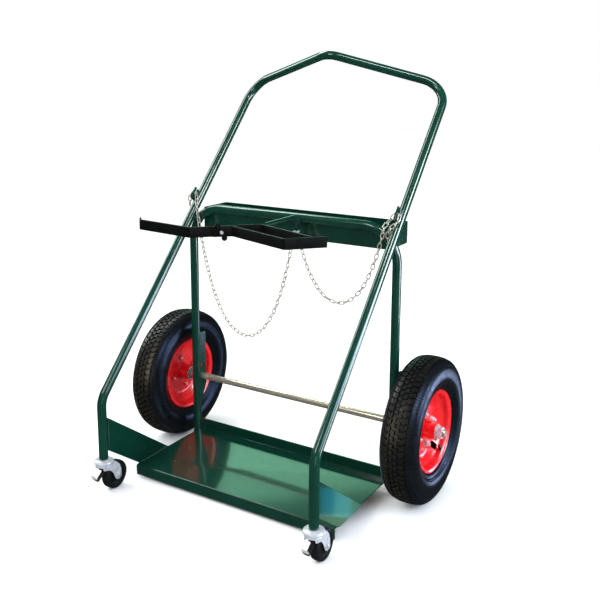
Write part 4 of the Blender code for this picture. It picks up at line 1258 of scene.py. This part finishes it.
def make_world():
    """White to the camera, dark in reflections, and a dim fill otherwise."""
    world = bpy.data.worlds.new("studio")
    SCENE.world = world
    world.use_nodes = True
    nodes, links = world.node_tree.nodes, world.node_tree.links
    background = nodes["Background"]
    path = nodes.new("ShaderNodeLightPath")
    glossy = nodes.new("ShaderNodeMix")
    glossy.data_type = "RGBA"
    set_inputs(glossy, {"A": (0.45, 0.45, 0.45, 1), "B": (0.045, 0.055, 0.060, 1)})
    level = nodes.new("ShaderNodeMix")
    level.data_type = "RGBA"
    set_inputs(level, {"B": (1.0, 1.0, 1.0, 1)})
    links.new(path.outputs["Is Glossy Ray"], glossy.inputs["Factor"])
    links.new(glossy.outputs["Result"], level.inputs["A"])
    links.new(path.outputs["Is Camera Ray"], level.inputs["Factor"])
    links.new(level.outputs["Result"], background.inputs["Color"])
    set_inputs(background, {"Strength": 1.0})


def make_lamps():
    centre, right_wheel = (0, 0.05, 0.5), (0.45, 0.1, 0.2)
    softbox("tube_sheen", (3.05, 0.58, 1.78), (0.337, 0, 0.65), 1.3, 1.6, 48, (0.80, 1.0, 0.98), HOOPS)
    softbox("bar_top", (0.82, -1.0, 3.2), (0.17, 0.25, 1.16), 0.6, 0.3, 14, only=HOOPS)
    softbox("warm", (-0.8, -2.6, 1.0), (0, 0.3, 0.2), 0.5, 1.6, 34, (1.0, 0.84, 0.58), TYRES)
    softbox("back", (-1.72, 2.85, 1.93), (0, -0.1, 0), 1.62, 0.80, 8.6, (0.38, 1.0, 0.64))
    softbox("right_strip", (3.05, 0.95, 1.2), (0.3, 0, 0.7), 0.50, 3.2, 85, (0.95, 1.0, 0.99), never=TYRES)
    softbox("shoulder", (2.6, -0.25, 1.55), right_wheel, 1.5, 0.8, 30, (0.56, 0.72, 1.0))
    softbox("sheen", (2.6, 1.45, 0.25), right_wheel, 0.7, 0.6, 11, (0.62, 0.74, 1.0))
    softbox("low_sheen", (1.4, 1.75, -0.25), (-0.4, 0.1, 0.2), 0.55, 0.45, 6, (0.55, 0.68, 1.0))
    softbox("low_pale", (0.517, 0.215, -0.115), PLATE_AT, 0.11, 0.16, 0.045, (0.38, 0.86, 0.54), PLATE)
    softbox("low_olive", (0.520, 0.110, -0.178), PLATE_AT, 0.12, 0.06, 0.020, (0.50, 0.90, 0.50), PLATE)
    softbox("low_blue", (0.518, 0.112, -0.105), PLATE_AT, 0.09, 0.08, 0.022, (0.0, 0.62, 1.0), PLATE)
    softbox("left_strip", (-2.6, 0.0, 2.2), (0, 0, 0.7), 0.80, 2.6, 48, (0.88, 1.0, 0.97))
    softbox("top", (-1.43, 0.85, 2.75), (0, 0.1, 0.75), 1.1, 0.5, 16)
    softbox("key", (-1.0, -3.0, 3.2), centre, 0.9, 0.9, 26)
    softbox("front", (2.4, -3.2, 0.9), centre, 0.5, 1.8, 8)
    overhead = bpy.data.lights.new("overhead", "SUN")
    overhead.energy = 2.6
    overhead.angle = math.radians(120)
    lamp = bpy.data.objects.new("overhead", overhead)
    lamp.rotation_euler = (math.radians(12), math.radians(-10), 0)
    lamp.visible_glossy = False
    SCENE.collection.objects.link(lamp)


def make_camera():
    yaw, pitch, roll = (math.radians(angle) for angle in CAMERA_TURN)
    forward = Vector((-math.sin(yaw) * math.cos(pitch), math.cos(yaw) * math.cos(pitch), -math.sin(pitch)))
    right = Vector((math.cos(yaw), math.sin(yaw), 0.0))
    up = right.cross(forward)
    across = right * math.cos(roll) + up * math.sin(roll)
    above = up * math.cos(roll) - right * math.sin(roll)
    data = bpy.data.cameras.new("camera")
    data.lens = 50.06
    data.sensor_width = 36.0
    data.shift_y = -0.12
    camera = bpy.data.objects.new("camera", data)
    SCENE.collection.objects.link(camera)
    axes = Matrix((across, above, -forward)).transposed().to_4x4()
    camera.matrix_world = Matrix.Translation(Vector(CAMERA_AT) + SHIFT) @ axes
    SCENE.camera = camera


make_hoops()
make_base_tray()
make_tool_tray()
make_plates()
make_welds()
make_axle()
for side, sign in SIDES:
    make_tyre(side, sign)
    make_rim(side, sign)
    make_hub(side, sign)
    make_valve(side)
    make_castor(side, sign)
    dress(f"inner_tube_{side}", TUBE_RUBBER)
    dress(f"brake_pin_{side}", ZINC)
make_clamp()
make_centre_rod()
make_chain_hooks()
make_chains()
make_floor()
make_world()
make_lamps()
make_camera()
SCENE.view_settings.view_transform = "Standard"
